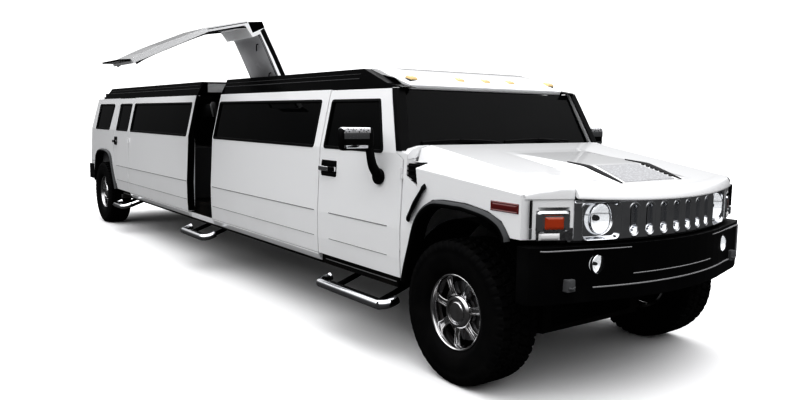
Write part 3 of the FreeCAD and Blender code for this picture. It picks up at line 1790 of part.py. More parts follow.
def cushion(name, x, y, z, radius):
    raw = box(name + "_raw", x, y, z)
    doc.recompute()
    result = doc.addObject("Part::Fillet", name)
    result.Base = raw
    result.Edges = [(number + 1, radius, radius) for number in range(len(raw.Shape.Edges))]
    return result


def seat(name, y):
    x = s.seat_x
    base = box(name + "_base", (x + 60, x + 480), (y - 200, y + 200), (floor_top, floor_top + 90))
    squab = cushion(name + "_squab", (x, x + 520), (y - 255, y + 255), (floor_top + 85, floor_top + 330), 40)
    back = cushion(
        name + "_back", (x - 90, x + 70), (y - 250, y + 250), (floor_top + 300, floor_top + 880), 45
    )
    rest = cushion(
        name + "_rest", (x - 70, x + 30), (y - 130, y + 130), (floor_top + 875, floor_top + 1060), 35
    )
    return joined(name, [base, squab, back, rest])


node("front_seats", together("front_seats", [seat("seat_right", -s.seat_y), seat("seat_left", s.seat_y)]))

wall_y = s.sill_y - s.door_thickness - 12
bench_x = (s.rear_door_front + 260, s.front_door_rear - 420)
bench = joined(
    "side_bench",
    [
        cushion("bench_base", bench_x, (wall_y - 560, wall_y), (floor_top, floor_top + 400), 40),
        cushion("bench_back", bench_x, (wall_y - 160, wall_y), (floor_top + 380, floor_top + 760), 40),
    ],
)
rear_bench_x = (rear_axle + 540, rear_axle + 1120)
rear_half = wall_y - 40
rear_bench = joined(
    "rear_bench",
    [
        cushion("rear_bench_base", rear_bench_x, (-rear_half, rear_half), (floor_top, floor_top + 400), 40),
        cushion(
            "rear_bench_back",
            (rear_bench_x[0], rear_bench_x[0] + 160),
            (-rear_half, rear_half),
            (floor_top + 380, floor_top + 900),
            40,
        ),
    ],
)
node("lounge_bench", together("lounge_bench", [bench, rear_bench]))

bar_rear = cushion(
    "bar_rear",
    (s.rear_door_front + 420, s.wing_door_rear - 160),
    (-wall_y, -wall_y + 330),
    (floor_top, floor_top + 560),
    14,
)
bar_front = cushion(
    "bar_front",
    (s.wing_door_front + 160, s.front_door_rear - 420),
    (-wall_y, -wall_y + 330),
    (floor_top, floor_top + 560),
    14,
)
node("bar_cabinets", together("bar_cabinets", [bar_rear, bar_front]))

partition_x = s.front_door_rear - 200
partition_wall = prism(
    "partition_wall",
    "YZ",
    [
        (-wall_y, floor_top),
        (wall_y, floor_top),
        (s.belt_y - s.door_thickness, s.belt_z - 40),
        (s.cant_y - s.frame_thickness - 14, s.cant_z - 20),
        (-s.cant_y + s.frame_thickness + 14, s.cant_z - 20),
        (-s.belt_y + s.door_thickness, s.belt_z - 40),
    ],
    partition_x,
    partition_x + 40,
)
partition_hole = box(
    "partition_hole", (partition_x - 20, partition_x + 60), (-480, 480), (s.belt_z, s.window_top_z)
)
node("partition", cut("partition", partition_wall, [partition_hole]))

dash = prism(
    "dash_block",
    "XZ",
    [
        (s.screen_bottom_x - 260, 940),
        (s.screen_bottom_x - 300, 1080),
        (s.screen_bottom_x - 280, 1230),
        (s.screen_bottom_x - 180, 1290),
        (s.screen_bottom_x - 10, 1290),
        (s.screen_bottom_x - 10, 940),
    ],
    -wall_y,
    wall_y,
)
column = cylinder("steering_column", "x", (s.screen_bottom_x - 430, s.seat_y, s.steering_z), 160, 28)
ring = doc.addObject("Part::Torus", "steering_ring")
ring.Placement = FreeCAD.Placement(FreeCAD.Vector(), turns["x"])
ring.Radius1 = 190
ring.Radius2 = 14
bind(ring, "Placement.Base.x", s.screen_bottom_x - 430)
bind(ring, "Placement.Base.y", s.seat_y)
bind(ring, "Placement.Base.z", s.steering_z)
spoke = box(
    "steering_spoke",
    (s.screen_bottom_x - 440, s.screen_bottom_x - 420),
    (s.seat_y - 185, s.seat_y + 185),
    (s.steering_z - 12, s.steering_z + 12),
)
node("dashboard", joined("dashboard", [dash, column, ring, spoke]))

# Underneath: exhaust and fuel tank.
pipe_y = -250
pipe_z = 435
pipe = cylinder("exhaust_pipe", "x", (rear_axle + 700, pipe_y, pipe_z), 1, 30)
bind(pipe, "Height", s.wheelbase - 700 - 1250)
tail_pipe = cylinder("exhaust_tail", "y", (rear_axle + 700, -s.sill_y + 40, pipe_z), 1, 30)
bind(tail_pipe, "Height", s.sill_y - 40 + pipe_y)
muffler = cylinder("exhaust_muffler", "x", (rear_axle + 1400, pipe_y, pipe_z), 700, 60)
hangers = []
for number in (1, 4):
    middle = between(rear_axle + 620, front_axle - 1250, number / 6)
    hangers.append(
        box(
            "exhaust_hanger_%d" % number,
            (middle - 8, middle + 8),
            (pipe_y - 6, pipe_y + 6),
            (pipe_z, s.rail_z + 30),
        ),
    )
node("exhaust", joined("exhaust", [pipe, tail_pipe, muffler] + hangers))
node(
    "fuel_tank",
    box("fuel_tank", (rear_axle + 1700, rear_axle + 2800), (s.rail_y + 60, s.rail_y + 430), (430, s.floor_z)),
)


# Side steps: a round tube with a tread plate behind it, on arms from the frame.
def side_step(name, x):
    tube_y = -s.step_outer_y + s.step_radius
    tube = cylinder(name + "_tube", "x", (x[0], tube_y, s.step_z - s.step_radius), x[1] - x[0], s.step_radius)
    plate = box(
        name + "_plate",
        (x[0] + s.step_radius, x[1] - s.step_radius),
        (tube_y, -s.step_outer_y + s.step_width),
        (s.step_z - s.step_radius - 6, s.step_z - s.step_radius + 6),
    )
    step_arms = []
    for number, middle in enumerate((between(x[0], x[1], 0.2), between(x[0], x[1], 0.8))):
        step_arms.append(
            prism(
                "%s_arm_%d" % (name, number),
                "YZ",
                [
                    (-s.step_outer_y + 40, s.step_z - 30),
                    (-s.step_outer_y + s.step_width, s.step_z - 30),
                    (-s.rail_y - s.rail_width / 2, s.rail_z + 20),
                    (-s.rail_y - s.rail_width / 2, s.rail_z + 70),
                    (-s.step_outer_y + s.step_width, s.step_z - 2),
                    (-s.step_outer_y + 40, s.step_z - 2),
                ],
                middle - 20,
                middle + 20,
            )
        )
    return joined(name, [tube, plate] + step_arms)


step_front = side_step("step_front", (s.front_door_rear + 120, s.front_door_front - 30))
step_wing = side_step("step_wing", (s.wing_door_rear + 20, s.wing_door_front + 60))
step_rear = side_step("step_rear", (s.rear_door_rear + 280, s.rear_door_front + 60))
node(
    "side_steps",
    together(
        "side_steps",
        [
            step_front,
            step_wing,
            step_rear,
            mirrored("step_front_left", step_front),
            mirrored("step_rear_left", step_rear),
        ],
    ),
)

# Mirrors and handles.
mirror_arm = prism(
    "mirror_arm",
    "YZ",
    [
        (-s.crease_y + 25, s.mirror_z - 200),
        (-s.crease_y + 25, s.mirror_z - 150),
        (-s.crease_y - 60, s.mirror_z + 20),
        (-s.crease_y - 150, s.mirror_z + 20),
        (-s.crease_y - 60, s.mirror_z - 120),
    ],
    s.mirror_x - 25,
    s.mirror_x + 25,
)
mirror_head = cushion(
    "mirror_head",
    (s.mirror_x - 45, s.mirror_x + 45),
    (-s.mirror_outer_y, -s.mirror_outer_y + s.mirror_width),
    (s.mirror_z, s.mirror_z + s.mirror_height),
    20,
)
mirror_right = cut(
    "mirror_right",
    joined("mirror_whole", [mirror_arm, mirror_head]),
    [whole_wall("mirror_wall", (s.mirror_x - 100, s.mirror_x + 100))],
)
node("mirror_right", mirror_right)
node("mirror_left", mirrored("mirror_left", mirror_right))

doc.recompute()

# Every object has to be sound before anything is written.
failed = [feature.Name for feature in doc.Objects if "Invalid" in feature.State or "Error" in feature.State]
for label, feature in nodes.items():
    shape = feature.Shape
    if shape.isNull() or not shape.isValid() or not shape.Solids:
        failed.append(label)
if failed:
    raise RuntimeError("failed: " + ", ".join(failed))
os.makedirs("parts", exist_ok=True)
for label, feature in nodes.items():
    feature.Shape.exportStep("parts/%s.step" % label)
print("nodes", len(nodes), "solids", sum(len(feature.Shape.Solids) for feature in nodes.values()))
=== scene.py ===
import math

import bmesh
import bpy
import numpy as np
from mathutils import Matrix, Vector


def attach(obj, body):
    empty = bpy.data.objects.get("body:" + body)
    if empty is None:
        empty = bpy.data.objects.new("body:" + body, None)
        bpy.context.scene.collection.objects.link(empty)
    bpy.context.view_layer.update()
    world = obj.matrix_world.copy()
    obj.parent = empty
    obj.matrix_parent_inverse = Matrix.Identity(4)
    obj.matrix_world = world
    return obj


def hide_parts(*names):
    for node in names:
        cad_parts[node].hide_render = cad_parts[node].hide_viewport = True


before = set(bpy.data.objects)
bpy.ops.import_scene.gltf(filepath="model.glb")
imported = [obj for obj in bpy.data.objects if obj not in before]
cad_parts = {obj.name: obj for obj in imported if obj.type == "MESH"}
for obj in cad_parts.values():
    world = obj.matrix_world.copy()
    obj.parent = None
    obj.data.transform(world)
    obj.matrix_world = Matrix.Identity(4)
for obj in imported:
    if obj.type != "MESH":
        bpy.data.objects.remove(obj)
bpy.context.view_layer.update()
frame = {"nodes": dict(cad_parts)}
nodes = frame["nodes"]
print("frame loaded,", len(nodes), "nodes")

# camera, light and floor
cameraSet = {
    "place": (6.981, -3.738, 1.575),
    "yaw": 144.04,  # heading, anticlockwise from the car's forward axis
    "pitch": -6.02,
    "roll": 0.75,
    "focal": 722.7,  # in pixels of the 800 wide frame
    "centre": (391.7, 192.1),
    "frame": (800, 400),
    "sensor": 36,
    "far": 200,
}


def setCamera(values):
    yaw, pitch, roll = (math.radians(values[key]) for key in ("yaw", "pitch", "roll"))
    level = math.cos(pitch)
    ahead = Vector((math.cos(yaw) * level, math.sin(yaw) * level, math.sin(pitch)))
    right = ahead.cross(Vector((0, 0, 1))).normalized()
    up = right.cross(ahead)
    across = right * math.cos(roll) + up * math.sin(roll)
    above = up * math.cos(roll) - right * math.sin(roll)
    camera = bpy.data.objects.new("camera", bpy.data.cameras.new("camera"))
    bpy.context.scene.collection.objects.link(camera)
    turn = Matrix((across, above, -ahead)).transposed().to_4x4()
    camera.matrix_world = Matrix.Translation(values["place"]) @ turn
    wide, high = values["frame"]
    camera.data.sensor_width = values["sensor"]
    camera.data.lens = values["focal"] * values["sensor"] / wide
    camera.data.shift_x = (wide / 2 - values["centre"][0]) / wide
    camera.data.shift_y = (values["centre"][1] - high / 2) / wide
    camera.data.clip_end = values["far"]
    bpy.context.scene.camera = camera


setCamera(cameraSet)

studioSet = {
    "seen": 1.0,  # the backdrop as the camera sees it
    "heights": ((0.0, 0.06), (0.5, 0.06), (0.6, 0.16), (0.75, 1.05), (1.0, 2.0)),  # the room's light, floor to top
    "lamps": (  # name, place, aim, size across, size along, power
        ("rightSide", (-1.0, -9.5, 4.6), (-0.5, 0, 0.9), 12, 3.2, 92),
    ),
}


# The room is plain white to the camera. Its light comes mostly from above, and it is dim near the horizon.
def setStudio(values):
    world = bpy.data.worlds.new("studio")
    bpy.context.scene.world = world
    world.use_nodes = True
    tree = world.node_tree
    glow = tree.nodes["Background"]
    parts = tree.nodes.new("ShaderNodeSeparateXYZ")
    tree.links.new(tree.nodes.new("ShaderNodeTexCoord").outputs["Generated"], parts.inputs[0])
    height = tree.nodes.new("ShaderNodeMapRange")
    tree.links.new(parts.outputs["Z"], height.inputs["Value"])
    height.inputs["From Min"].default_value = -1
    ramp = tree.nodes.new("ShaderNodeValToRGB")
    tree.links.new(height.outputs[0], ramp.inputs["Fac"])
    stops = ramp.color_ramp.elements
    peak = max(level for _, level in values["heights"])
    while len(stops) < len(values["heights"]):
        stops.new(0.5)
    for stop, (place, level) in zip(stops, values["heights"]):
        stop.position = place
        stop.color = (level / peak, level / peak, level / peak * 1.01, 1)
    tree.links.new(ramp.outputs["Color"], glow.inputs["Color"])
    glow.inputs["Strength"].default_value = peak
    seen = tree.nodes.new("ShaderNodeBackground")
    seen.inputs["Color"].default_value = (1, 1, 1, 1)
    seen.inputs["Strength"].default_value = values["seen"]
    either = tree.nodes.new("ShaderNodeMixShader")
    tree.links.new(tree.nodes.new("ShaderNodeLightPath").outputs["Is Camera Ray"], either.inputs[0])
    tree.links.new(glow.outputs[0], either.inputs[1])
    tree.links.new(seen.outputs[0], either.inputs[2])
    tree.links.new(either.outputs[0], tree.nodes["World Output"].inputs["Surface"])
    for name, place, aim, across, along, power in values["lamps"]:
        lamp = bpy.data.lights.new(name, "AREA")
        lamp.shape, lamp.size, lamp.size_y, lamp.energy = "RECTANGLE", across, along, power
        holder = bpy.data.objects.new(name, lamp)
        bpy.context.scene.collection.objects.link(holder)
        holder.location = place
        holder.rotation_euler = (Vector(aim) - Vector(place)).to_track_quat("-Z", "Y").to_euler()
    scene = bpy.context.scene
    scene.view_settings.view_transform = "Standard"
    scene.view_settings.look = "High Contrast"


setStudio(studioSet)


# shader wires
def plug(tree, slot, value):  # links a wire to a socket, or sets the socket to a plain value
    if isinstance(value, Wire):
        tree.links.new(value.socket, slot)
    else:
        slot.default_value = value


class Wire:  # a socket that takes part in sums, each adding a Math node
    def __init__(self, tree, socket):
        self.tree, self.socket = tree, socket

    def math(self, operation, *values):
        made = self.tree.nodes.new("ShaderNodeMath")
        made.operation = operation
        for slot, value in zip(made.inputs, values):
            plug(self.tree, slot, value)
        return Wire(self.tree, made.outputs[0])

    def __add__(self, other):
        return self.math("ADD", self, other)

    def __radd__(self, other):
        return self.math("ADD", other, self)

    def __sub__(self, other):
        return self.math("SUBTRACT", self, other)

    def __rsub__(self, other):
        return self.math("SUBTRACT", other, self)

    def __mul__(self, other):
        return self.math("MULTIPLY", self, other)

    def __rmul__(self, other):
        return self.math("MULTIPLY", other, self)

    def __gt__(self, other):
        return self.math("GREATER_THAN", self, other)

    def __lt__(self, other):
        return self.math("LESS_THAN", self, other)


class Finish:  # one material and its Principled shader
    def __init__(self, name, **fixed):
        self.material = bpy.data.materials.new(name)
        self.material.use_nodes = True
        self.tree = self.material.node_tree
        self.shader = self.tree.nodes["Principled BSDF"]
        self.place = self.make("ShaderNodeTexCoord", take="Object")
        self.set(**fixed)

    def make(self, kind, settings=(), take=0, **sockets):
        made = self.tree.nodes.new(kind)
        for key, value in dict(settings).items():
            setattr(made, key, value)
        for key, value in sockets.items():
            plug(self.tree, made.inputs[key.replace("_", " ")], value)
        return Wire(self.tree, made.outputs[take])

    def set(self, **sockets):
        for key, value in sockets.items():
            plug(self.tree, self.shader.inputs[key.replace("_", " ")], value)
        return self

    def noise(self, scale, detail=3.0, roughness=0.5):
        sockets = {"Vector": self.place, "Scale": scale, "Detail": detail, "Roughness": roughness}
        return self.make("ShaderNodeTexNoise", take="Fac", **sockets)

    def axes(self):
        made = self.tree.nodes.new("ShaderNodeSeparateXYZ")
        self.tree.links.new(self.place.socket, made.inputs[0])
        return [Wire(self.tree, made.outputs[k]) for k in range(3)]

    def mix(self, share, first, second):
        made = self.tree.nodes.new("ShaderNodeMix")
        made.data_type = "RGBA"
        for slot, value in ((made.inputs["Factor"], share), (made.inputs[6], first), (made.inputs[7], second)):
            plug(self.tree, slot, value)
        return Wire(self.tree, made.outputs[2])

    def span(self, value, low, high):  # 0 at low, 1 at high
        return self.make("ShaderNodeMapRange", Value=value, From_Min=low, From_Max=high)

    def relief(self, height, distance, strength=1.0, edge=0.0):
        sockets = {"Height": height, "Distance": distance, "Strength": strength}
        if edge:
            sockets["Normal"] = self.make("ShaderNodeBevel", {"samples": 4}, Radius=edge)
        return self.set(Normal=self.make("ShaderNodeBump", **sockets))


# A finish with spots: colour and roughness change where a noise is high, and a finer noise gives it relief.
weatherSet = {
    # spots: scale, detail, from, to, strength; colours, clean and spotted; roughness and its change in the spots;
    # relief: scale, detail, depth, strength, rounding of edges; sockets that are the same all over
    "blackPaint": (
        (7.0, 5.0, 0.45, 0.8, 0.02), ((0.0022, 0.0022, 0.0025), (0.1, 0.1, 0.1)), (0.16, 0.15),
        (640.0, 2.0, 0.00015, 0.3, 0.006), {"Specular_IOR_Level": 0.025},
    ),
    "framePaint": (  # dull, with road dirt
        (5.0, 8.0, 0.42, 0.7, 0.4), ((0.005, 0.005, 0.0055), (0.04, 0.034, 0.028)), (0.42, 0.35),
        (160.0, 4.0, 0.0006, 0.5, 0.004), {"Specular_IOR_Level": 0.1},
    ),
    "chrome": (  # plated, faintly smeared
        (14.0, 5.0, 0.4, 0.75, 1), ((0.82, 0.83, 0.85), (0.72, 0.73, 0.75)), (0.05, 0.09),
        (60.0, 2.0, 0.0001, 0.2, 0.003), {"Metallic": 1.0},
    ),
    "darkGlass": (  # privacy glass
        (1.4, 4.0, 0.45, 0.8, 0.5), ((0.003, 0.0032, 0.0035), (0.008, 0.0085, 0.009)), (0.02, 0.03),
        (), {"Specular_IOR_Level": 0.14, "Alpha": 0.95},
    ),
    "tyreRubber": (
        (9.0, 7.0, 0.42, 0.72, 0.4), ((0.0045, 0.0045, 0.005), (0.016, 0.015, 0.014)), (0.62, 0.2),
        (420.0, 3.0, 0.0005, 0.5, 0.0), {"Specular_IOR_Level": 0.1},
    ),
    "rimMetal": (  # polished alloy with fine machining
        (22.0, 5.0, 0.4, 0.75, 1), ((0.66, 0.66, 0.67), (0.5, 0.49, 0.48)), (0.1, 0.12),
        (300.0, 2.0, 0.0001, 0.2, 0.003), {"Metallic": 1.0},
    ),
    "castMetal": (  # with rust
        (26.0, 8.0, 0.55, 0.75, 0.7), ((0.2, 0.2, 0.205), (0.16, 0.09, 0.05)), (0.5, 0.3),
        (220.0, 4.0, 0.0008, 0.6, 0.004), {"Metallic": 0.7},
    ),
    "steel": (  # bare, stained
        (18.0, 6.0, 0.45, 0.75, 1), ((0.36, 0.36, 0.37), (0.2, 0.18, 0.16)), (0.3, 0.25),
        (400.0, 2.0, 0.0002, 0.4, 0.003), {"Metallic": 0.9},
    ),
}


def weathered(name):
    (scale, detail, low, high, strength), (clean, spotted), (rough, change), relief, fixed = weatherSet[name]
    finish = Finish(name, **fixed)
    spots = finish.span(finish.noise(scale, detail), low, high)
    finish.set(Base_Color=finish.mix(spots * strength, clean + (1,), spotted + (1,)))
    finish.set(Roughness=rough + spots * change)
    if relief:
        scale, detail, depth, strength, edge = relief
        finish.relief(finish.noise(scale, detail), depth, strength, edge)
    return finish.material


def bodyPaint():  # white gloss over primer: faint orange peel; darker and browner low on the panels, in patches
    paint = Finish("bodyPaint", Coat_Weight=1.0, Coat_Roughness=0.03, Roughness=0.32)
    height = paint.axes()[2]
    # darker and browner towards the bottom of the panels, in noise patches
    lowDarkening = paint.span(height, 0.95, 0.45) * paint.span(paint.noise(2.3, 6.0), 0.35, 0.75)
    paint.set(Base_Color=paint.mix(lowDarkening * 0.16, (0.9, 0.905, 0.91, 1), (0.55, 0.53, 0.5, 1)))
    paint.relief(paint.noise(620.0, 2.0), 0.00015, 0.35, edge=0.006)
    return paint.material


def mouldedPlastic(name, colour, roughness, wear):  # leather-like grain, paler on worn patches
    plastic = Finish(name, Specular_IOR_Level=0.1)
    worn = plastic.span(plastic.noise(3.2, 6.0), 0.5, 0.78)
    plastic.set(Base_Color=plastic.mix(worn * wear, colour, tuple(0.25 + 0.6 * c for c in colour[:3]) + (1,)))
    plastic.set(Roughness=roughness + worn * 0.12)
    grain = plastic.make("ShaderNodeTexVoronoi", take="Distance", Vector=plastic.place, Scale=900.0)
    plastic.relief(grain, 0.0003, 0.45, edge=0.004)
    return plastic.material


def lampGlass(name, colour, alpha, ribs):  # moulded lens with upright optics
    lens = Finish(name, IOR=1.5, Coat_Weight=1.0, Coat_Roughness=0.02, Alpha=alpha)
    bands = {"bands_direction": "Y", "wave_profile": "SIN"}
    wave = lens.make("ShaderNodeTexWave", bands, take="Fac", Vector=lens.place, Scale=ribs)
    pale = tuple(min(1, c * 1.5 + 0.02) for c in colour[:3]) + (1,)
    lens.set(Base_Color=lens.mix(wave * 0.35, colour, pale))
    lens.set(Roughness=0.06 + lens.noise(40.0) * 0.05)
    lens.relief(wave, 0.0008, 0.6)
    return lens.material


def leather():  # pebbled hide with fine creases and shinier rubbed patches
    hide = Finish("leather", Sheen_Weight=0.15)
    edges = {"feature": "DISTANCE_TO_EDGE"}
    cells = hide.make("ShaderNodeTexVoronoi", edges, take="Distance", Vector=hide.place, Scale=420.0)
    crease = hide.noise(38.0, 6.0, 0.6)
    rubbed = hide.span(hide.noise(4.0, 4.0), 0.45, 0.75)
    hide.set(Base_Color=hide.mix(rubbed, (0.035, 0.034, 0.034, 1), (0.06, 0.058, 0.056, 1)))
    hide.set(Roughness=0.5 - rubbed * 0.12)
    hide.relief(hide.span(cells, 0.0, 0.12) + crease * 0.5, 0.0006, 0.6)
    return hide.material


def cabinTrim():  # short-pile lining cloth, near black; its darkness is partly painted shade inside the cabin
    cloth = Finish("cabinTrim", Sheen_Weight=0.25)
    pile = cloth.noise(1100.0, 2.0)
    patch = cloth.noise(6.0, 4.0)
    cloth.set(Base_Color=cloth.mix(patch, (0.03, 0.03, 0.032, 1), (0.05, 0.05, 0.053, 1)))
    cloth.set(Roughness=0.8 + pile * 0.15)
    cloth.relief(pile, 0.0012, 0.7, edge=0.004)
    return cloth.material


finishes = {
    "body_paint": bodyPaint(),
    "black_paint": weathered("blackPaint"),
    "frame_paint": weathered("framePaint"),
    "black_plastic": mouldedPlastic("blackPlastic", (0.004, 0.004, 0.0044, 1), 0.4, 0.02),
    "grey_plastic": mouldedPlastic("greyPlastic", (0.11, 0.112, 0.115, 1), 0.5, 0.15),
    "chrome": weathered("chrome"),
    "dark_glass": weathered("darkGlass"),
    "lamp_lens": lampGlass("lampLens", (0.8, 0.82, 0.84, 1), 0.25, 60.0),
    "amber_lens": lampGlass("amberLens", (0.75, 0.16, 0.02, 1), 0.95, 90.0),
    "red_lens": lampGlass("redLens", (0.3, 0.012, 0.01, 1), 0.97, 90.0),
    "tyre_rubber": weathered("tyreRubber"),
    "rim_metal": weathered("rimMetal"),
    "cast_metal": weathered("castMetal"),
    "steel": weathered("steel"),
    "leather": leather(),
    "cabin_trim": cabinTrim(),
}

for name, part in nodes.items():
    for holder in part.material_slots:
        slotName = holder.material.name.split(".")[0]
        if slotName in finishes:
            holder.material = finishes[slotName]
        else:
            print("no finish for", name, slotName)
print("finishes made")


# surfaces
class Form:  # the points and faces of one piece, gathered from several surfaces
    def __init__(self):
        self.points, self.faces, self.kinds, self.count = [], [], [], 0

    def take(self, points, faces, kind=0):
        self.points.append(points.reshape(-1, 3))
        self.faces += (np.asarray(faces) + self.count).tolist()
        self.kinds += [kind] * len(faces)
        self.count += points.size // 3
        return self

    # a grid of points (rows, columns, 3) joined to its neighbours, and round to its first row or column where it closes
    def grid(self, points, loopRows=False, loopColumns=False, kind=0):
        rows, columns = points.shape[:2]
        index = np.arange(rows * columns).reshape(rows, columns)
        if loopRows:
            index = np.vstack((index, index[:1]))
        if loopColumns:
            index = np.hstack((index, index[:, :1]))
        corners = (index[:-1, :-1], index[:-1, 1:], index[1:, 1:], index[1:, :-1])
        return self.take(points, np.stack(corners, -1).reshape(-1, 4), kind)

    # a closed ring of points joined to its middle
    def fan(self, ring, kind=0):
        index = np.arange(len(ring))
        faces = np.stack((index, np.roll(index, -1), np.full(len(ring), len(ring))), -1)
        return self.take(np.vstack((ring, ring.mean(0))), faces, kind)

    # rings of a closed section, one after the other, with both ends closed
    def loft(self, rings, kind=0):
        return self.grid(rings, loopColumns=True, kind=kind).fan(rings[0], kind=kind).fan(rings[-1], kind=kind)

    def moved(self, shift):
        self.points = [block + np.asarray(shift) for block in self.points]
        return self

    def add(self, other, scale=(1, 1, 1)):
        for block in other.points:
            self.points.append(block * np.asarray(scale))
        self.faces += [[number + self.count for number in face] for face in other.faces]
        self.kinds += other.kinds
        self.count += other.count
        return self

    def mirrored(self):  # the same on the other side of the car
        return Form().add(self, (1, -1, 1))

    def both(self):
        return self.add(self.mirrored())


# a closed polygon with its corners rounded: each corner becomes an arc of the given radius
def rounded(corners, radius, steps=5):
    corners = np.asarray(corners, float)
    radii = np.broadcast_to(radius, len(corners))
    before, after = np.roll(corners, 1, 0), np.roll(corners, -1, 0)
    points = []
    for corner, last, following, size in zip(corners, before, after, radii):
        back, ahead = last - corner, following - corner
        back, ahead = back / np.linalg.norm(back), ahead / np.linalg.norm(ahead)
        half = math.acos(float(np.clip(back @ ahead, -1, 1))) / 2
        reach = size / math.tan(half)
        share = np.linspace(0, 1, steps)[:, None]
        start, end = corner + back * reach, corner + ahead * reach
        points.append((1 - share) ** 2 * start + 2 * share * (1 - share) * corner + share**2 * end)
    return np.vstack(points)


# a closed outline moved inwards by a distance, along the mean of its edges' normals
def inset(outline, distance):
    edge = np.roll(outline, -1, 0) - np.roll(outline, 1, 0)
    edge /= np.maximum(np.linalg.norm(edge, axis=1, keepdims=True), 1e-9)
    normal = np.stack((-edge[:, 1], edge[:, 0]), -1)
    area = np.sum(outline[:, 0] * np.roll(outline[:, 1], -1) - np.roll(outline[:, 0], -1) * outline[:, 1])
    return outline + normal * distance * (1 if area > 0 else -1)


# a plate: an outline in the plane of two directions, carried through its thickness, its edges rolled by a quarter
# circle
def plate(outline, origin, across, up, low, high, edge=0.003, steps=3, kind=0):
    origin, across, up = (np.asarray(value, float) for value in (origin, across, up))
    out = np.cross(across, up)
    turn = np.linspace(0, math.pi / 2, steps)
    rings = [(inset(outline, edge * (1 - math.sin(t))), low + edge * (1 - math.cos(t))) for t in turn]
    rings += [(inset(outline, edge * (1 - math.sin(t))), high - edge * (1 - math.cos(t))) for t in turn[::-1]]
    points = np.stack([origin + flat[:, :1] * across + flat[:, 1:] * up + level * out for flat, level in rings])
    return Form().loft(points, kind)


# a rod: a circle of changing radius carried along a path, turned as little as possible from station to station
def rod(path, radius, sides=16, kind=0, squeeze=(1, 1)):
    path = np.asarray(path, float)
    radius = np.broadcast_to(radius, len(path))
    ahead = np.gradient(path, axis=0)
    ahead /= np.linalg.norm(ahead, axis=1, keepdims=True)
    first = np.cross(ahead[0], (0, 0, 1) if abs(ahead[0, 2]) < 0.9 else (1, 0, 0))
    rings = []
    angle = np.linspace(0, 2 * math.pi, sides, endpoint=False)[:, None]
    for point, direction, size in zip(path, ahead, radius):
        first = first - direction * (first @ direction)
        first /= np.linalg.norm(first)
        second = np.cross(direction, first)
        rings.append(point + size * (np.cos(angle) * first * squeeze[0] + np.sin(angle) * second * squeeze[1]))
    return Form().loft(np.stack(rings), kind)


# a smooth path through points: a cubic for each stretch, its slope at a point that of the line past both neighbours
def smoothPath(points, steps=8):
    points = np.asarray(points, float)
    padded = np.vstack((2 * points[0] - points[1], points, 2 * points[-1] - points[-2]))
    share = np.linspace(0, 1, steps, endpoint=False)[:, None]
    pieces = []
    for a, b, c, d in zip(padded, padded[1:], padded[2:], padded[3:]):
        curve = 2 * b + (c - a) * share + (2 * a - 5 * b + 4 * c - d) * share**2 + (3 * b - a - 3 * c + d) * share**3
        pieces.append(curve / 2)
    return np.vstack(pieces + [points[-1:]])


# a turned part: a closed or open profile of (radius, place along the axis), carried round an axis through origin
def turned(profile, origin, axis, sides=48, closed=True, kind=0):
    profile, axis = np.asarray(profile, float), np.asarray(axis, float)
    first = np.cross(axis, (0, 0, 1) if abs(axis[2]) < 0.9 else (1, 0, 0))
    first /= np.linalg.norm(first)
    second = np.cross(axis, first)
    angle = np.linspace(0, 2 * math.pi, sides, endpoint=False)[:, None, None]
    ring = np.cos(angle) * first + np.sin(angle) * second
    points = np.asarray(origin, float) + profile[None, :, :1] * ring + profile[None, :, 1:] * axis
    return Form().grid(points, loopRows=True, loopColumns=closed, kind=kind)


forward, leftward, rightward, upward = (1, 0, 0), (0, 1, 0), (0, -1, 0), (0, 0, 1)


# points from their three coordinates
def xyz(x, y, z):
    return np.stack((x, y, z), -1)


# the two coordinates of a grid, each given as (start, end, count)
def patch(first, second):
    return np.meshgrid(np.linspace(*first), np.linspace(*second), indexing="ij")


# a rectangle with rounded corners
def roundedBox(start, end, low, high, radius, steps=5):
    return rounded([(start, low), (end, low), (end, high), (start, high)], radius, steps)


# a closed section carried straight along an axis through its stations
def carried(section, stations, axis=0):
    return Form().loft(np.stack([np.insert(section, axis, place, 1) for place in stations]))


# makes the piece: joins doubled points, turns faces outwards, shades smooth up to an angle; a finish is a material or
# a name in finishes, or a list of them, one for each kind of face
def makePiece(form, name, finish, body, replaces=(), sharp=35):
    mesh = bpy.data.meshes.new(name)
    mesh.from_pydata(np.vstack(form.points).tolist(), [], form.faces)
    for look in finish if isinstance(finish, list) else [finish]:
        mesh.materials.append(finishes[look] if isinstance(look, str) else look)
    mesh.polygons.foreach_set("material_index", form.kinds)
    work = bmesh.new()
    work.from_mesh(mesh)
    bmesh.ops.remove_doubles(work, verts=work.verts, dist=1e-5)
    bmesh.ops.recalc_face_normals(work, faces=work.faces)
    work.to_mesh(mesh)
    work.free()
    mesh.shade_smooth()
    mesh.set_sharp_from_angle(angle=math.radians(sharp))
    piece = bpy.data.objects.new(name, mesh)
    bpy.context.scene.collection.objects.link(piece)
    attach(piece, body)
    if replaces:
        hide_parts(*replaces)
    return piece


# the piece on the right, and its mirror image on the left; %s stands for the side in the names
def makeSides(form, name, finish, body, replaces=(), sharp=35):
    for side, scale in (("right", 1), ("left", -1)):
        title, owner, *nodes = (text.replace("%s", side) for text in (name, body, *replaces))
        makePiece(Form().add(form, (1, scale, 1)), title, finish, owner, nodes, sharp)


# wheels
wheelSet = {
    "wheelbase": 7.69,
    "halfTrack": 0.8815,
    "corners": {"front_right": (1, -1), "front_left": (1, 1), "rear_right": (-1, -1), "rear_left": (-1, 1)},
}
axleX = wheelSet["wheelbase"] / 2

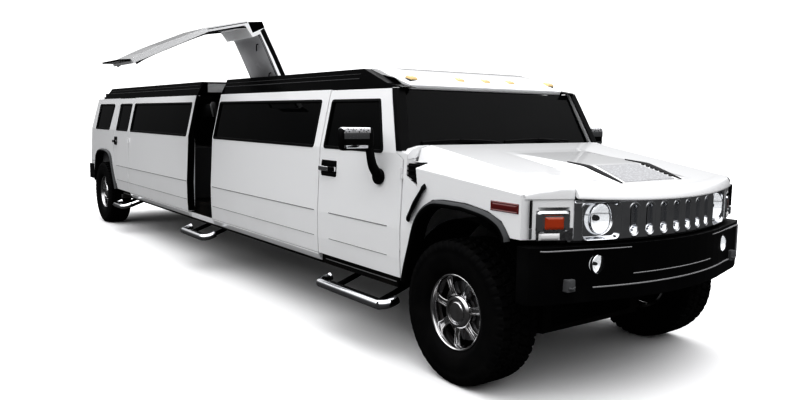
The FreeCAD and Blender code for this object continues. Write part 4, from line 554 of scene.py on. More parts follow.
tyreSet = {
    "radius": 0.432,
    "bead": 0.216,
    "wall": (  # across, above the bead
        (0.1, 0), (0.109, 0.012), (0.131, 0.03), (0.143, 0.056), (0.148, 0.1), (0.149, 0.13), (0.145, 0.152),
        (0.147, 0.157),
    ),
    "shoulder": ((0.143, 0.034), (0.136, 0.02), (0.129, 0.009)),  # across, below the tread
    "inside": (0.09, 0.014),  # across, above the bead
    "treadHalf": 0.128,
    "crown": 0.006,  # how far the tread's edges lie below its middle
    "rows": (-0.074, 0.0, 0.074),  # places of the zigzag grooves
    "zigzag": 0.006,
    "groove": 0.015,
    "grooveHalf": 0.0066,
    "pitches": 46,
    "perPitch": 10,  # steps in a pitch
    "slants": (5.0, 1.5),  # of the cross grooves, in the middle rows and in the outer ones
    "gaps": (0.24, 0.3),  # their share of a pitch, likewise
    "shoulderGroove": 0.008,
}


# Tyre: a closed section of (across, radius) points carried round the axle. On the tread the radius drops into
# grooves: four rows of blocks, their cross grooves set half a pitch apart and slanted, zigzag grooves between rows.
def tyreForm(values):
    outer, bead, edge = values["radius"], values["bead"], values["treadHalf"]
    wall = [(place, bead + rise) for place, rise in values["wall"]]
    wall += [(place, outer - fall) for place, fall in values["shoulder"]]
    tread = [(place, outer - values["crown"] * (place / edge) ** 4) for place in np.linspace(edge, -edge, 41)]
    inside, rise = values["inside"]
    section = wall + tread + [(-place, size) for place, size in wall[::-1]]
    section = np.array(section + [(-inside, bead + rise), (inside, bead + rise)])
    around = values["pitches"] * values["perPitch"]
    turn = np.arange(around)[:, None] / values["perPitch"]  # in pitches
    place = section[None, :, 0]
    size = np.repeat(section[None, :, 1], around, 0)
    zigzag = values["zigzag"] * np.sign(np.sin(turn * 2 * math.pi))
    rows = np.array(values["rows"])
    row = np.digitize(place + zigzag, rows)
    alongGroove = np.min(np.abs(place + zigzag - rows[:, None, None]), 0) < values["grooveHalf"]
    inMiddle = np.abs(place) < rows[-1]
    slant = place * np.where(inMiddle, *values["slants"]) * np.sign(place)
    crossGroove = ((turn + slant + row * 0.5) % 1.0) < np.where(inMiddle, *values["gaps"])
    onTop = np.abs(place) < edge + 0.0005
    onTread = onTop & (size > outer - 0.02)
    onShoulder = ~onTop & (size > outer - 0.036)
    shoulderCut = ((turn + 0.19 * np.sign(place) + (place > 0) * 1.5) % 1.0) < values["gaps"][1]
    depth = np.where(onTread & (alongGroove | crossGroove), values["groove"], 0.0)
    depth = np.where(onShoulder & shoulderCut, values["shoulderGroove"], depth)
    angle = turn * 2 * math.pi / values["pitches"]
    radius = size - depth
    points = xyz(radius * np.cos(angle), np.repeat(place, around, 0), radius * np.sin(angle))
    return Form().grid(points, loopRows=True, loopColumns=True)


rimSet = {
    "lip": 0.2275,
    "halfWidth": 0.117,
    "barrel": 0.206,
    "hub": 0.108,
    "face": 0.082,  # spokes' outer face, out from the wheel's middle
    "cap": (  # the stepped cap: radius, height over the face
        (0.0, 0.026), (0.03, 0.026), (0.055, 0.024), (0.061, 0.02), (0.064, 0.012), (0.071, 0.012), (0.075, 0.024),
        (0.09, 0.022), (0.101, 0.012),
    ),
    "spokes": 7,
    "spokeHalf": 0.029,
    "waist": 0.008,  # how much narrower a spoke is halfway
    "section": (  # of a spoke: across in half widths, height
        (-1.0, -0.012), (-0.96, -0.002), (-0.75, 0.0), (-0.5, -0.002), (-0.38, -0.012), (0.38, -0.012), (0.5, -0.002),
        (0.75, 0.0), (0.96, -0.002), (1.0, -0.012), (0.8, -0.042), (-0.8, -0.042),
    ),
    "brake": ((0.06, 0.028), (0.178, 0.028), (0.178, 0.021), (0.06, 0.021)),
    "shield": ((0.05, -0.02), (0.2, -0.02), (0.2, -0.026), (0.05, -0.026)),
}


# Rim: a turned barrel with a rolled lip, a turned hub with a stepped cap, and twin-ribbed spokes.
# A spoke is a section carried outwards along the radius; its outer face has two ribs with a channel between them.
def rimForm(values):
    lip, half, barrel, hub, face = (values[key] for key in ("lip", "halfWidth", "barrel", "hub", "face"))
    outwards = np.array(rightward)
    form = Form()
    well = [(lip - 0.013, half - 0.004), (lip - 0.006, half), (lip, half - 0.002), (lip, half - 0.007)]
    well += [(lip - 0.013, half - 0.012), (lip - 0.014, -half + 0.012), (lip, -half + 0.007), (lip, -half + 0.002)]
    well += [(lip - 0.006, -half), (barrel, -half + 0.004), (barrel - 0.004, -0.05), (barrel - 0.004, face - 0.03)]
    form.add(turned(well + [(barrel + 0.001, half - 0.02)], (0, 0, 0), outwards, 96))
    ring = [(size, face + rise) for size, rise in values["cap"]]
    ring += [(hub, face - 0.006), (hub, face - 0.04), (hub - 0.03, face - 0.055), (0.0, face - 0.055)]
    form.add(turned(ring, (0, 0, 0), outwards, 72, closed=False))
    across, level = np.array(values["section"]).T
    radii = np.linspace(hub - 0.012, barrel + 0.001, 14)
    share = (radii - radii[0]) / (radii[-1] - radii[0])
    width = values["spokeHalf"] - values["waist"] * np.sin(math.pi * share) + 0.004 * share
    crest = face + 0.004 + 0.004 * np.sin(math.pi * share)
    for number in range(values["spokes"]):
        angle = 2 * math.pi * (number + 0.25) / values["spokes"]
        along = np.array((math.cos(angle), 0, math.sin(angle)))
        sideways = np.array((-math.sin(angle), 0, math.cos(angle)))
        rings = radii[:, None, None] * along + (width[:, None] * across)[:, :, None] * sideways
        form.loft(rings + (crest[:, None] + level)[:, :, None] * outwards)
    form.add(turned(values["brake"], (0, 0, 0), outwards, 64, kind=1))
    return form.add(turned(values["shield"], (0, 0, 0), outwards, 48, kind=2))


tyre, rim = tyreForm(tyreSet), rimForm(rimSet)
for corner, (end, side) in wheelSet["corners"].items():
    shift = (end * axleX, side * wheelSet["halfTrack"], tyreSet["radius"])
    rubber, alloy = (Form().add(form, (1, -side, 1)).moved(shift) for form in (tyre, rim))
    owner = "wheel_" + corner
    makePiece(rubber, "tyre_%s_tread" % corner, "tyre_rubber", owner, ["tyre_" + corner])
    metals = ["rim_metal", "cast_metal", "black_paint"]
    makePiece(alloy, "rim_%s_spoked" % corner, metals, owner, ["rim_" + corner], sharp=28)
print("wheels made")

# nose
noseSet = {
    "front": 4.617,
    "bow": 0.132,  # how far back the grille's ends lie
    "half": 0.735,  # half the grille's width
    "corner": (4.487, 0.74, 0.126 / 0.263),  # the fender's front: x, the place across where it starts, its slope
    "hood": (1.392, 3.355, 0.16378),  # height, x there, fall for each metre forwards
}


def bowX(y):  # the grille's and bumper's front, bowed back towards both ends
    return noseSet["front"] - noseSet["bow"] * (np.asarray(y) / noseSet["half"]) ** 2


def step(value, low, high):  # a smooth rise from 0 at low to 1 at high
    share = np.clip((np.asarray(value) - low) / (high - low), 0, 1)
    return share * share * (3 - 2 * share)


# distance to a box with rounded corners, negative inside
def boxDistance(across, up, half, high, radius):
    a, b = np.abs(across) - half + radius, np.abs(up) - high + radius
    return np.hypot(np.maximum(a, 0), np.maximum(b, 0)) + np.minimum(np.maximum(a, b), 0) - radius


grilleSet = {
    "half": 0.735,
    "low": 0.915,
    "top": 1.141,
    "pitch": 0.118,
    "slotHalf": 0.029,
    "slotMiddle": 1.027,
    "slotHigh": 0.083,  # half its height
    "slotDepth": 0.034,
    "ledge": (0.035, 0.07),  # where a slot's lower end begins and ends to slope, below its middle
    "lampY": 0.572,
    "lampZ": 1.03,
    "bezel": (0.116, 0.1, 0.035),  # half its width and height, radius of its corners
    "bezelDepth": 0.024,
    "collar": (0.092, 0.084),  # radii of the step and of the hole round a lamp
    "back": 0.0395,
    "backHalf": 0.45,
    "hole": (-0.017, 0.017, -0.062, 0.074, 0.016),  # the dark plate in a slot
}


# Grille: a sheet over (y, z) whose depth behind the bowed front grows inside each slot and inside the square lamp
# bezels. The slots' lower ends slope gently, so that they catch the sky; a fine raised bead runs round each one.
def grilleForm(values):
    half, low, top, middle = (values[key] for key in ("half", "low", "top", "slotMiddle"))
    across, up = patch((-half, half, 561), (low, top, 81))
    near = values["pitch"] * np.clip(np.round(across / values["pitch"]), -3, 3)
    slot = boxDistance(across - near, up - middle, values["slotHalf"], values["slotHigh"], values["slotHalf"])
    reach = 0.008 + 0.03 * step(up, middle - values["ledge"][0], middle - values["ledge"][1])
    depth = values["slotDepth"] * step(-slot, -0.002, reach) - 0.004 * np.exp(-((slot - 0.008) / 0.004) ** 2)
    side, rise = np.abs(across) - values["lampY"], up - values["lampZ"]
    bezel = boxDistance(side, rise, *values["bezel"])
    depth += values["bezelDepth"] * step(-bezel, 0.0, 0.014) - 0.005 * np.exp(-((bezel - 0.004) / 0.005) ** 2)
    ring = np.hypot(side + 0.009, rise - 0.01)
    collar, hole = values["collar"]
    depth += 0.014 * step(collar - ring, 0.0, 0.01) + 0.06 * step(hole - ring, 0.0, 0.004)
    depth += 0.012 * step(np.abs(across), half - 0.02, half) ** 2
    depth += 0.01 * step(low + 0.014 - up, 0, 0.014) + 0.008 * step(up - top + 0.012, 0, 0.012)
    face = xyz(bowX(across) - depth, across, up)
    back = xyz(bowX(across) - values["back"], across, up)
    form = Form().grid(face)
    for edge, far in ((face[0], back[0]), (face[-1], back[-1]), (face[:, 0], back[:, 0]), (face[:, -1], back[:, -1])):
        form.grid(np.stack((edge, far)))
    between = np.abs(across[:, 0]) < values["backHalf"]
    return form.grid(back[between][::20, ::20])


makePiece(grilleForm(grilleSet), "grille_slotted", "chrome", "body", ["grille"], sharp=50)
slotBlack = Form()
for number in range(-3, 4):
    middle = number * grilleSet["pitch"]
    place = (bowX(middle) - 0.0335, middle, grilleSet["slotMiddle"])
    slotBlack.add(plate(roundedBox(*grilleSet["hole"]), place, leftward, upward, -0.003, 0.0015, 0.001))
makePiece(slotBlack, "grille_shadow", "black_plastic", "body")

lampSet = {  # radius, depth, place across, height, how far before the bowed front
    "head": (0.079, 0.042, 0.563, 1.04, -0.022),
    "fog": (0.047, 0.03, 0.606, 0.8, 0.024),
}
reflectorSet = {
    "flutes": 40,
    "paintedGlow": 0.3,
    "paintedDarkBands": ((1.058, 1.066, 1.0), (1.02, 1.024, 0.5)),  # low, high, strength
}


# Lamp: a dished reflector with flutes and a bulb cap; depths and radii are shares of the lamp's own.
def lampForm(radius, depth, flutes):
    dish = [(0.0, -1.0), (0.2, -0.97), (0.55, -0.75), (0.85, -0.3)]
    profile = [(radius * a, depth * b) for a, b in dish] + [(radius * 0.97, -0.002), (radius, 0.002)]
    profile += [(radius * 1.03, -0.002), (radius * 1.03, -depth - 0.012), (0.0, -depth - 0.012)]
    form = turned(profile, (0, 0, 0), forward, flutes, closed=False)
    cap = [(radius * a, -depth * b) for a, b in ((0.0, 0.2), (0.14, 0.24), (0.2, 0.5), (0.2, 1.0))]
    return form.add(turned(cap, (0, 0, 0), forward, 24, closed=False, kind=1))


def glassForm(radius, bulge):  # a dome: its height falls with the square of the radius
    share = np.linspace(0, 1, 7)
    profile = np.stack((radius * share, bulge * (1 - share**2)), -1)
    return turned(profile, (0, 0, 0), forward, 48, closed=False)


def reflectorMetal(values):  # bright, with a painted glow that stands in for light falling on it, and dark bands across the glow that are painted reflections
    metal = Finish("reflector", Metallic=0.2)
    metal.set(Base_Color=metal.mix(metal.noise(30.0, 3.0), (0.95, 0.96, 0.97, 1), (0.8, 0.81, 0.83, 1)))
    height = metal.axes()[2]
    bands = [(height > low) * (height < high) * strength for low, high, strength in values["paintedDarkBands"]]
    # painted glow: the reflectors glow though the lamps are not lit, and the dark bands in the glow are painted
    # reflections
    glow = metal.mix(bands[0] + bands[1], (0.9, 0.92, 0.94, 1), (0.02, 0.02, 0.02, 1))
    metal.set(Emission_Color=glow, Emission_Strength=values["paintedGlow"])
    metal.set(Roughness=0.22 + metal.noise(55.0) * 0.1)
    metal.relief(metal.noise(90.0, 2.0), 0.002, 0.4)
    return metal.material


ringSection = ((0, -0.004), (0.001, 0.004), (0.004, 0.006), (0.007, 0.003), (0.007, -0.01))  # out, forwards
lamps, glasses, rings = Form(), Form(), Form()
for radius, depth, y, z, face in lampSet.values():
    lipped = [(radius + out, rise) for out, rise in ringSection]
    for side in (-1, 1):
        place = (bowX(y) + face, side * y, z)
        lamps.add(lampForm(radius, depth, reflectorSet["flutes"]).moved(place))
        glasses.add(glassForm(radius * 0.98, radius * 0.16).moved(place))
        rings.add(turned(lipped, place, forward, 48))
reflector = reflectorMetal(reflectorSet)
makePiece(lamps, "lamp_reflectors", [reflector, "black_plastic"], "body", ["head_lamps"], sharp=25)
makePiece(glasses, "lamp_glasses", lampGlass("lampFront", (0.9, 0.92, 0.94, 1), 0.05, 30.0), "body")
makePiece(rings, "lamp_rings", "chrome", "body")
print("grille and lamps made")

turnLampSet = {  # each sheet's span across and up, with its counts; then middle, half sizes and radius of its shape
    "plated": ((-0.93, -0.758, 49), (0.97, 1.092, 37)),
    "rim": (-0.845, 1.031, 0.082, 0.058, 0.02),
    "well": (-0.839, 1.024, 0.062, 0.047, 0.014),
    "lower": ((-0.929, -0.744, 25), (0.932, 0.999, 13)),
    "lens": ((-0.893, -0.784, 37), (0.985, 1.064, 25)),
    "dome": (-0.8385, 1.0245, 0.0545, 0.0395, 0.012),
    "bar": ((-0.918, -0.812, 29), (0.936, 0.972, 9)),
    "barShape": (-0.865, 0.954, 0.053, 0.018, 0.012),
}
markerSet = {
    "along": (4.132, 4.343, 61),
    "up": (1.072, 1.126, 21),
    "shape": (4.2375, 1.099, 0.1055, 0.027, 0.012),
    "side": 1.0005,
}


def cornerFace(y):  # the fender's front face
    x, start, slope = noseSet["corner"]
    return x - (np.abs(y) - start) * slope


def boxAt(across, up, shape):  # distance to a rounded box given by its middle, half sizes and radius
    return boxDistance(across - shape[0], up - shape[1], *shape[2:])


# Turn lamp: a plated box with rounded corners on the fender's front, an amber lens in it and a bright plate below.
# Each part is a sheet over (across, up), lifted off the fender's face by smooth steps of its distance to a box.
def turnLamp(values):
    form = Form()

    def sheet(key, lift, kind=0):
        across, up = patch(*values[key])
        form.grid(xyz(cornerFace(across) + lift(across, up), across, up), kind=kind)

    def plated(across, up):
        rim, well = boxAt(across, up, values["rim"]), boxAt(across, up, values["well"])
        return 0.013 * step(-rim, 0, 0.01) - 0.01 * step(-well, -0.002, 0.006)

    sheet("plated", plated)
    sheet("lower", lambda across, up: 0.0035 + 0.0012 * np.sin(across * 260) * np.sin(up * 230), 4)
    sheet("lens", lambda across, up: 0.001 + 0.009 * step(-boxAt(across, up, values["dome"]), 0, 0.02), 1)
    sheet("bar", lambda across, up: 0.006 + 0.008 * step(-boxAt(across, up, values["barShape"]), 0, 0.01), 2)
    return form


# Side marker: a long lens with a domed face and a plated rim, its edges closed back to the panel.
def sideMarker(values):
    along, up = patch(values["along"], values["up"])
    edge = boxAt(along, up, values["shape"])
    lift = 0.004 + 0.005 * step(-edge, 0, 0.006) - 0.004 * step(-edge, 0.006, 0.009) + 0.004 * step(-edge, 0.008, 0.02)
    face = xyz(along, -values["side"] - lift, up)
    form = Form().grid(face, kind=3)
    for edge in (face[0], face[-1], face[:, 0], face[:, -1]):
        form.grid(np.stack((edge, edge * (1, 0, 1) + (0, -values["side"], 0))))
    return form


def darkPlate():
    metal = Finish("darkPlate", Metallic=0.9)
    metal.set(Base_Color=metal.mix(metal.noise(60.0, 3.0), (0.12, 0.12, 0.125, 1), (0.4, 0.4, 0.41, 1)))
    metal.set(Roughness=0.2 + metal.noise(30.0) * 0.15)
    return metal.material


lensRed = lampGlass("markerLens", (0.13, 0.014, 0.013, 1), 1.0, 70.0)
lensAmber = lampGlass("turnLens", (0.42, 0.06, 0.015, 1), 1.0, 80.0)
plateGrey = mouldedPlastic("plateGrey", (0.8, 0.8, 0.8, 1), 0.3, 0.1)
lampLooks = ["chrome", lensAmber, plateGrey, lensRed, darkPlate()]
hoodLamps = turnLamp(turnLampSet).add(sideMarker(markerSet)).both()
makePiece(hoodLamps, "hood_lamps", lampLooks, "hood_shell", ["side_markers"], sharp=50)

hoodSet = {
    "lipHalf": 0.738,
    "lipTop": (1.1845, 0.0216),  # height in the middle, rise at the grille's half width
    "lipFloor": 1.131,
    "lipSection": (  # out from the bowed front, up from the lip's top
        (-0.07, 0.0125), (0.0, 0.0025), (0.0095, 0.0), (0.014, -0.004), (0.024, -0.024), (0.032, -0.042),
        (0.033, -0.048), (0.031, -0.052), (0.02, -0.05), (0.0, -0.035), (-0.07, -0.012),
    ),
    "cornerTop": (  # across, height
        (0.742, 1.206), (0.78, 1.2093), (0.82, 1.2073), (0.86, 1.198), (0.9, 1.1955), (0.94, 1.188),
        (0.97, 1.1816), (0.99, 1.177),
    ),
    "rise": ((3.58, 0.0), (3.66, 0.002), (4.15, 0.036), (4.187, 0.0375), (4.21, 0.0365), (4.44, 0.0)),  # bulge along x
    "bulge": ((3.58, 4.44, 80), (-0.42, 0.42, 61)),
    "fade": (0.303, 0.40),  # where the bulge fades to each side
    "mesh": (4.19, 0.245, 0.2, 0.045),  # the scoop's: start, length, half width, widening
}


def hoodZ(x):  # the hood's top
    height, start, slope = noseSet["hood"]
    return height - (np.asarray(x) - start) * slope


def hoodRise(x):  # the bulge's height over the hood
    return np.interp(x, *zip(*hoodSet["rise"]))


# Hood lip: a section of offsets from the bowed front, carried across; its top rises with the square of y.
def hoodLip(values):
    y = np.linspace(-values["lipHalf"], values["lipHalf"], 63)
    level, rise = values["lipTop"]
    top = level + rise * (y / noseSet["half"]) ** 2
    floor, section = values["lipFloor"], values["lipSection"]
    rows = [xyz(bowX(y) + out, y, np.maximum(top + drop, floor)) for out, drop in section]
    return Form().loft(np.stack(rows, 1))


# Corner cap: a painted face before the hood's front corner, its upper edge rounded into the hood's top.
def cornerCap(values):
    y = np.linspace(-0.99, -0.742, 33)
    top = np.interp(-y, *zip(*values["cornerTop"]))
    rows = [(-0.05, top + 0.009), (-0.012, top + 0.0035), (0.0, top + 0.001), (0.0045, top - 0.004)]
    rows += [(0.006, top - 0.011), (0.006, np.full_like(y, 1.152)), (0.001, np.full_like(y, 1.15))]
    return Form().grid(np.stack([xyz(cornerFace(y) + out, y, z) for out, z in rows], 1))


def meshPanel():  # a fine square lattice
    mesh = Finish("meshPanel", Metallic=0.3, Roughness=0.4)
    squares = {"distance": "CHEBYCHEV"}
    lattice = mesh.make("ShaderNodeTexVoronoi", squares, take="Distance", Vector=mesh.place, Scale=70.0)
    mesh.set(Base_Color=mesh.mix(mesh.span(lattice, 0.28, 0.34), (0.47, 0.48, 0.49, 1), (0.36, 0.36, 0.37, 1)))
    mesh.relief(lattice, 0.001, 0.5)
    return mesh.material


makePiece(cornerCap(hoodSet).both(), "hood_corners", "body_paint", "hood_shell", sharp=60)
makePiece(hoodLip(hoodSet), "hood_lip", "body_paint", "hood_shell", sharp=60)

# Bulge: it rises along a slope to the mesh's rear edge, goes down again under the mesh and fades to each side.
along, across = patch(*hoodSet["bulge"])
rise = hoodRise(along) * (1 - step(np.abs(across), *hoodSet["fade"]))
hoodBulge = Form().grid(xyz(along, across, hoodZ(along) + 0.0006 + rise))
makePiece(hoodBulge, "hood_bulge", "body_paint", "hood_shell", sharp=50)
share, across = patch((0, 1, 30), (-1, 1, 30))
start, length, half, widening = hoodSet["mesh"]
x = start + length * share
scoopMesh = Form().grid(xyz(x, across * (half + widening * share), hoodZ(x) + hoodRise(x) + 0.0025))
makePiece(scoopMesh, "scoop_mesh", meshPanel(), "hood_shell")

slitSet = {
    "long": (4.04, 4.45, -0.283, 0.026, -0.006),  # start, end, place across, swell, how far it turns in
    "short": (4.2, 0.022, 0.236, 0.012),  # first start, length, place across, swell
    "pitch": (0.03, 0.004),  # along and across, from one short slit to the next
    "count": 7,
    "cornerAt": 0.952,  # the slots at the fenders' front, in outlines of (start, end, low, high, radius)
    "cornerSlots": (((-0.026, 0.012, 1.0, 1.147, 0.008), 0.003, 0), ((-0.026, 0.012, 0.944, 0.997, 0.006), 0.0035, 1)),
}


# Slit: a strip that swells in its middle, bent along the hood.
def slitForm(start, end, y, swell, turnIn):
    x = np.linspace(start, end, 40)
    share = (x - start) / (end - start)
    width = swell * np.sin(math.pi * share) ** 0.7 + 0.0015
    middle = y + turnIn * share**2
    base = hoodZ(x) + 0.003 + hoodRise(x)
    rows = [xyz(x, middle + width * k, base + 0.003 - 0.001 * k * k) for k in (-1.0, -0.5, 0.0, 0.5, 1.0)]
    under = [xyz(x, middle + width * k, base - 0.004) for k in (1.0, -1.0)]
    return Form().loft(np.stack(rows + under, 1))


slits = slitForm(*slitSet["long"]).both()
start, length, y, swell = slitSet["short"]
for number in range(slitSet["count"]):
    first = start + slitSet["pitch"][0] * number
    slits.add(slitForm(first, first + length, y + slitSet["pitch"][1] * number, swell, 0.0))
blackSlots = Form()
slope = noseSet["corner"][2]
cornerAcross = np.array((slope, -1, 0)) / math.hypot(slope, 1)
cornerPlace = (cornerFace(slitSet["cornerAt"]), -slitSet["cornerAt"], 0)
for outline, high, kind in slitSet["cornerSlots"]:
    blackSlots.add(plate(roundedBox(*outline), cornerPlace, -cornerAcross, upward, -0.003, high, 0.001, kind=kind))
slits.add(blackSlots.both())
makePiece(slits, "hood_slits", ["black_plastic", "grey_plastic"], "hood_shell")

bumperSet = {
    "lines": ((0.737, -0.38, 0.38, 0.0045), (0.678, -0.64, 0.64, 0.006)),  # height, from, to, radius
    "upper": (0.884, -0.64, -0.40, 0.0045),
    "corner": ((4.455, -0.955, 0.887), (4.4815, -0.905, 0.886), (4.549, -0.645, 0.884)),
    # the far end's outline, a painted highlight, on the left side only
    "far": (
        (4.5475, 0.64, 0.678), (4.487, 0.895, 0.678), (4.4865, 0.905, 0.70), (4.4865, 0.905, 0.86),
        (4.487, 0.895, 0.885), (4.537, 0.70, 0.885),
    ),
    "tow": ((-0.032, -0.034), (0.032, -0.034), (0.028, 0.034), (-0.028, 0.034)),
    "towAt": (4.506, -0.79, 0.70),
    "hook": ((4.532, -0.815, 0.69), (4.544, -0.79, 0.685), (4.532, -0.765, 0.69)),
}


# Bumper line: a fine flattened grey rod a little before the bumper's bowed face, a painted highlight along an edge of
# the bumper.
def bumperHighlight(z, start, end, radius):
    y = np.linspace(start, end, 40)
    return rod(xyz(bowX(y) + 0.0315, y, np.full(40, z)), radius, 10, squeeze=(1, 0.8))


# grey rods along the bumper's top, corners and lower edges are painted highlights; the far end's outline is painted on
# the left side only
lines = bumperHighlight(*bumperSet["upper"])
lines.add(rod(smoothPath(bumperSet["corner"], 6), 0.0045, 10)).both()
for line in bumperSet["lines"]:
    lines.add(bumperHighlight(*line))
lines.add(rod(smoothPath(bumperSet["far"], 6), 0.006, 10))
paintedHighlightGrey = mouldedPlastic("paintedHighlightGrey", (0.3, 0.3, 0.305, 1), 0.3, 0.1)
makePiece(lines, "bumper_lines", paintedHighlightGrey, "body")
tow = plate(rounded(bumperSet["tow"], 0.008), bumperSet["towAt"], leftward, upward, -0.03, 0.03, 0.006)
tow.add(rod(bumperSet["hook"], 0.007, 10))
makePiece(tow.both(), "tow_blocks", "grey_plastic", "body")
print("nose trim made")

# side trim
sideShape = [(0.533, 0.992), (0.654, 1.0), (0.852, 1.003), (1.336, 0.98), (1.685, 0.902), (1.765, 0.882)]


def sideY(z):  # how far out the side stands at a height
    return -np.interp(z, *zip(*sideShape))


# a strip round a closed outline on the side: the outline's points are (x, z), width goes inwards
def sideRing(outline, width, lift):
    rings = []
    section = ((0.0, -0.001), (0.001, lift * 0.7), (0.003, lift), (width - 0.002, lift * 0.8), (width, -0.006))
    for inward, rise in section:
        flat = inset(outline, inward)
        rings.append(xyz(flat[:, 0], sideY(flat[:, 1]) - rise, flat[:, 1]))
    return Form().grid(np.stack(rings, 1), loopRows=True)


# Window seals: rubber bands round each window, the corners rounded.
sealSet = {"grow": 0.008, "corner": 0.03, "width": 0.022, "lift": 0.0045}
windows = {  # owner, corners (x, z)
    "front_door": ("front_door_%s", [(2.305, 1.336), (3.08, 1.336), (2.93, 1.685), (2.305, 1.685)]),
    "front_long": ("body", [(0.175, 1.336), (2.155, 1.336), (2.155, 1.685), (0.175, 1.685)]),
    "rear_long": ("body", [(-2.605, 1.336), (-0.575, 1.336), (-0.575, 1.685), (-2.605, 1.685)]),
    "rear_door": ("rear_door_%s", [(-3.24, 1.336), (-2.725, 1.336), (-2.725, 1.685), (-3.24, 1.685)]),
    "quarter": ("body", [(-4.305, 1.336), (-3.585, 1.336), (-3.585, 1.685), (-4.305, 1.685)]),
}
for name, (owner, corners) in windows.items():
    grown = inset(np.asarray(corners), -sealSet["grow"])
    seal = sideRing(rounded(grown, sealSet["corner"], 6), sealSet["width"], sealSet["lift"])
    makeSides(seal, "seal_" + name + "_%s", "black_plastic", owner)

# Crease lines: dark grey threads along the side's crease and lower down, painted shade along the creases.
creaseSet = {
    "threads": ((0.856, 0.0034), (0.662, 0.0024)),  # height, radius
    "spans": {
        "body": [(0.19, 2.2), (-2.645, -0.52), (-4.53, -4.32)],
        "front_door_%s": [(2.42, 3.16)],
        "rear_door_%s": [(-3.2, -2.67)],
    },
}
# a mid grey for painted lines: shade along the creases, and a highlight along the running boards
creaseDark = mouldedPlastic("creaseDark", (0.26, 0.262, 0.265, 1), 0.5, 0.1)
for owner, spans in creaseSet["spans"].items():
    threads = Form()
    for start, end in spans:
        for z, size in creaseSet["threads"]:
            y = float(sideY(z)) - 0.0006
            threads.add(rod([(x, y, z) for x in np.linspace(start, end, 20)], size, 8))
    makeSides(threads, "crease_" + owner + "_%s", creaseDark, owner)

flareSet = {  # arches as (x from the axle, z); profiles as (inwards, y): outside, and within the arch
    "front": (
        (-0.507, 0.535), (-0.481, 0.64), (-0.445, 0.749), (-0.39, 0.915), (-0.315, 1.014), (-0.215, 1.07),
        (-0.111, 1.082), (0.0, 1.083), (0.084, 1.082), (0.26, 1.058), (0.37, 1.016), (0.425, 0.958), (0.437, 0.918),
    ),
    "rear": (
        (0.635, 0.535), (0.575, 0.64), (0.52, 0.73), (0.395, 0.96), (0.28, 1.028), (0.13, 1.052), (0.0, 1.054),
        (-0.1, 1.052), (-0.25, 1.028), (-0.37, 0.945), (-0.44, 0.74), (-0.47, 0.623), (-0.47, 0.57),
    ),
    "outside": ((0.0, -0.998), (0.0, -1.008), (0.004, -1.019), (0.013, -1.027), (0.018, -1.029)),
    "within": (
        (0.018, -1.029), (0.028, -1.0305), (0.036, -1.029), (0.042, -1.02), (0.044, -1.0), (0.044, -0.96),
        (0.044, -0.93), (0.03, -0.93),
    ),
}


# Flare: a smooth curve through the arch's corners, carried inwards over a rounded lip; grey outside, black within.
def flareForm(values, arch, axle):
    path = smoothPath([(axle + x, 0, z) for x, z in values[arch]], 7)[:, (0, 2)]
    ahead = np.gradient(path, axis=0)
    ahead /= np.linalg.norm(ahead, axis=1, keepdims=True)
    inward = np.stack((-ahead[:, 1], ahead[:, 0]), -1)
    middle = len(path) // 2
    if np.sum((np.array((axle, 0.5)) - path[middle]) * inward[middle]) < 0:
        inward = -inward

    def row(d, y, places=slice(None)):
        x, z = (path[places] + inward[places] * d).T
        return xyz(x, np.full(len(x), y), z)

    form = Form()
    for kind, profile in enumerate((values["outside"], values["within"])):
        form.grid(np.stack([row(d, y) for d, y in profile], 1), kind=kind)
    for end in (slice(0, 1), slice(-1, None)):
        ring = [row(d, y, end) for d, y in values["outside"] + values["within"][1:]]
        form.fan(np.vstack(ring + [row(0.0, values["within"][-1][1], end)]), kind=1)
    return form


flareGrey = mouldedPlastic("flareGrey", (0.1, 0.102, 0.105, 1), 0.45, 0.1)
flares = flareForm(flareSet, "front", axleX).add(flareForm(flareSet, "rear", -axleX)).both()
makePiece(flares, "flares", [flareGrey, "black_plastic"], "body", ["arch_flares"], sharp=50)

handleSet = {
    "front": (2.289, 2.501, 1.126, 1.244),  # start, end, low, high
    "rear": (-3.322, -3.19, 1.135, 1.245),
    "corner": 0.022,
    "rim": (0.016, 0.014),  # of the dish, along and up
    "bar": (1.1655, 1.2005),
    "split": (0.62, 0.63),  # the bar's end and its lock's start, in shares of the length
}


# Handle: a rounded black escutcheon with a dished middle and a bright pull bar over it.
def handleForm(values, door):
    start, end, low, high = values[door]
    along, up = patch((start, end, 41), (low, high, 31))
    a, b, half, tall = along - (start + end) / 2, up - (low + high) / 2, (end - start) / 2, (high - low) / 2
    edge = boxDistance(a, b, half, tall, values["corner"])
    dish = boxDistance(a, b, half - values["rim"][0], tall - values["rim"][1], 0.016)
    lift = 0.006 * step(-edge, -0.001, 0.006) - 0.0045 * step(-dish, 0, 0.012)
    form = Form().grid(xyz(along, sideY(up) - lift, up))
    barEnd, lockStart = (start + share * (end - start) for share in values["split"])
    for first, last, kind in ((start + 0.002, barEnd, 1), (lockStart, end - 0.002, 0)):
        cover = roundedBox(first, last, *values["bar"], 0.005)
        form.add(plate(cover, (0, -1.003, 0), forward, upward, 0.001, 0.0165, 0.004, kind=kind))
    return form


for door in ("front", "rear"):
    pull, looks = handleForm(handleSet, door), ["black_plastic", "chrome"]
    makeSides(pull, "pull_" + door + "_%s", looks, door + "_door_%s", sharp=50)
print("side trim made")

cowlSet = {
    "post": (1.352, 1.762),  # the cover's foot and head
    "postRear": ((1.346, 1.769), (3.222, 3.037)),  # x at the two heights
    "postFront": ((1.355, 1.769), (3.281, 3.096)),
    "vent": ((3.344, 1.138), (3.471, 1.138), (3.456, 1.278), (3.344, 1.278)),
    "slats": (4, 1.16, 0.03),  # count, first height, pitch
    "slat": ((3.35, -0.974, 0.0), (3.35, -0.986, 0.012), (3.35, -0.984, 0.018), (3.35, -0.972, 0.01)),
    "slatLong": 0.108,
}


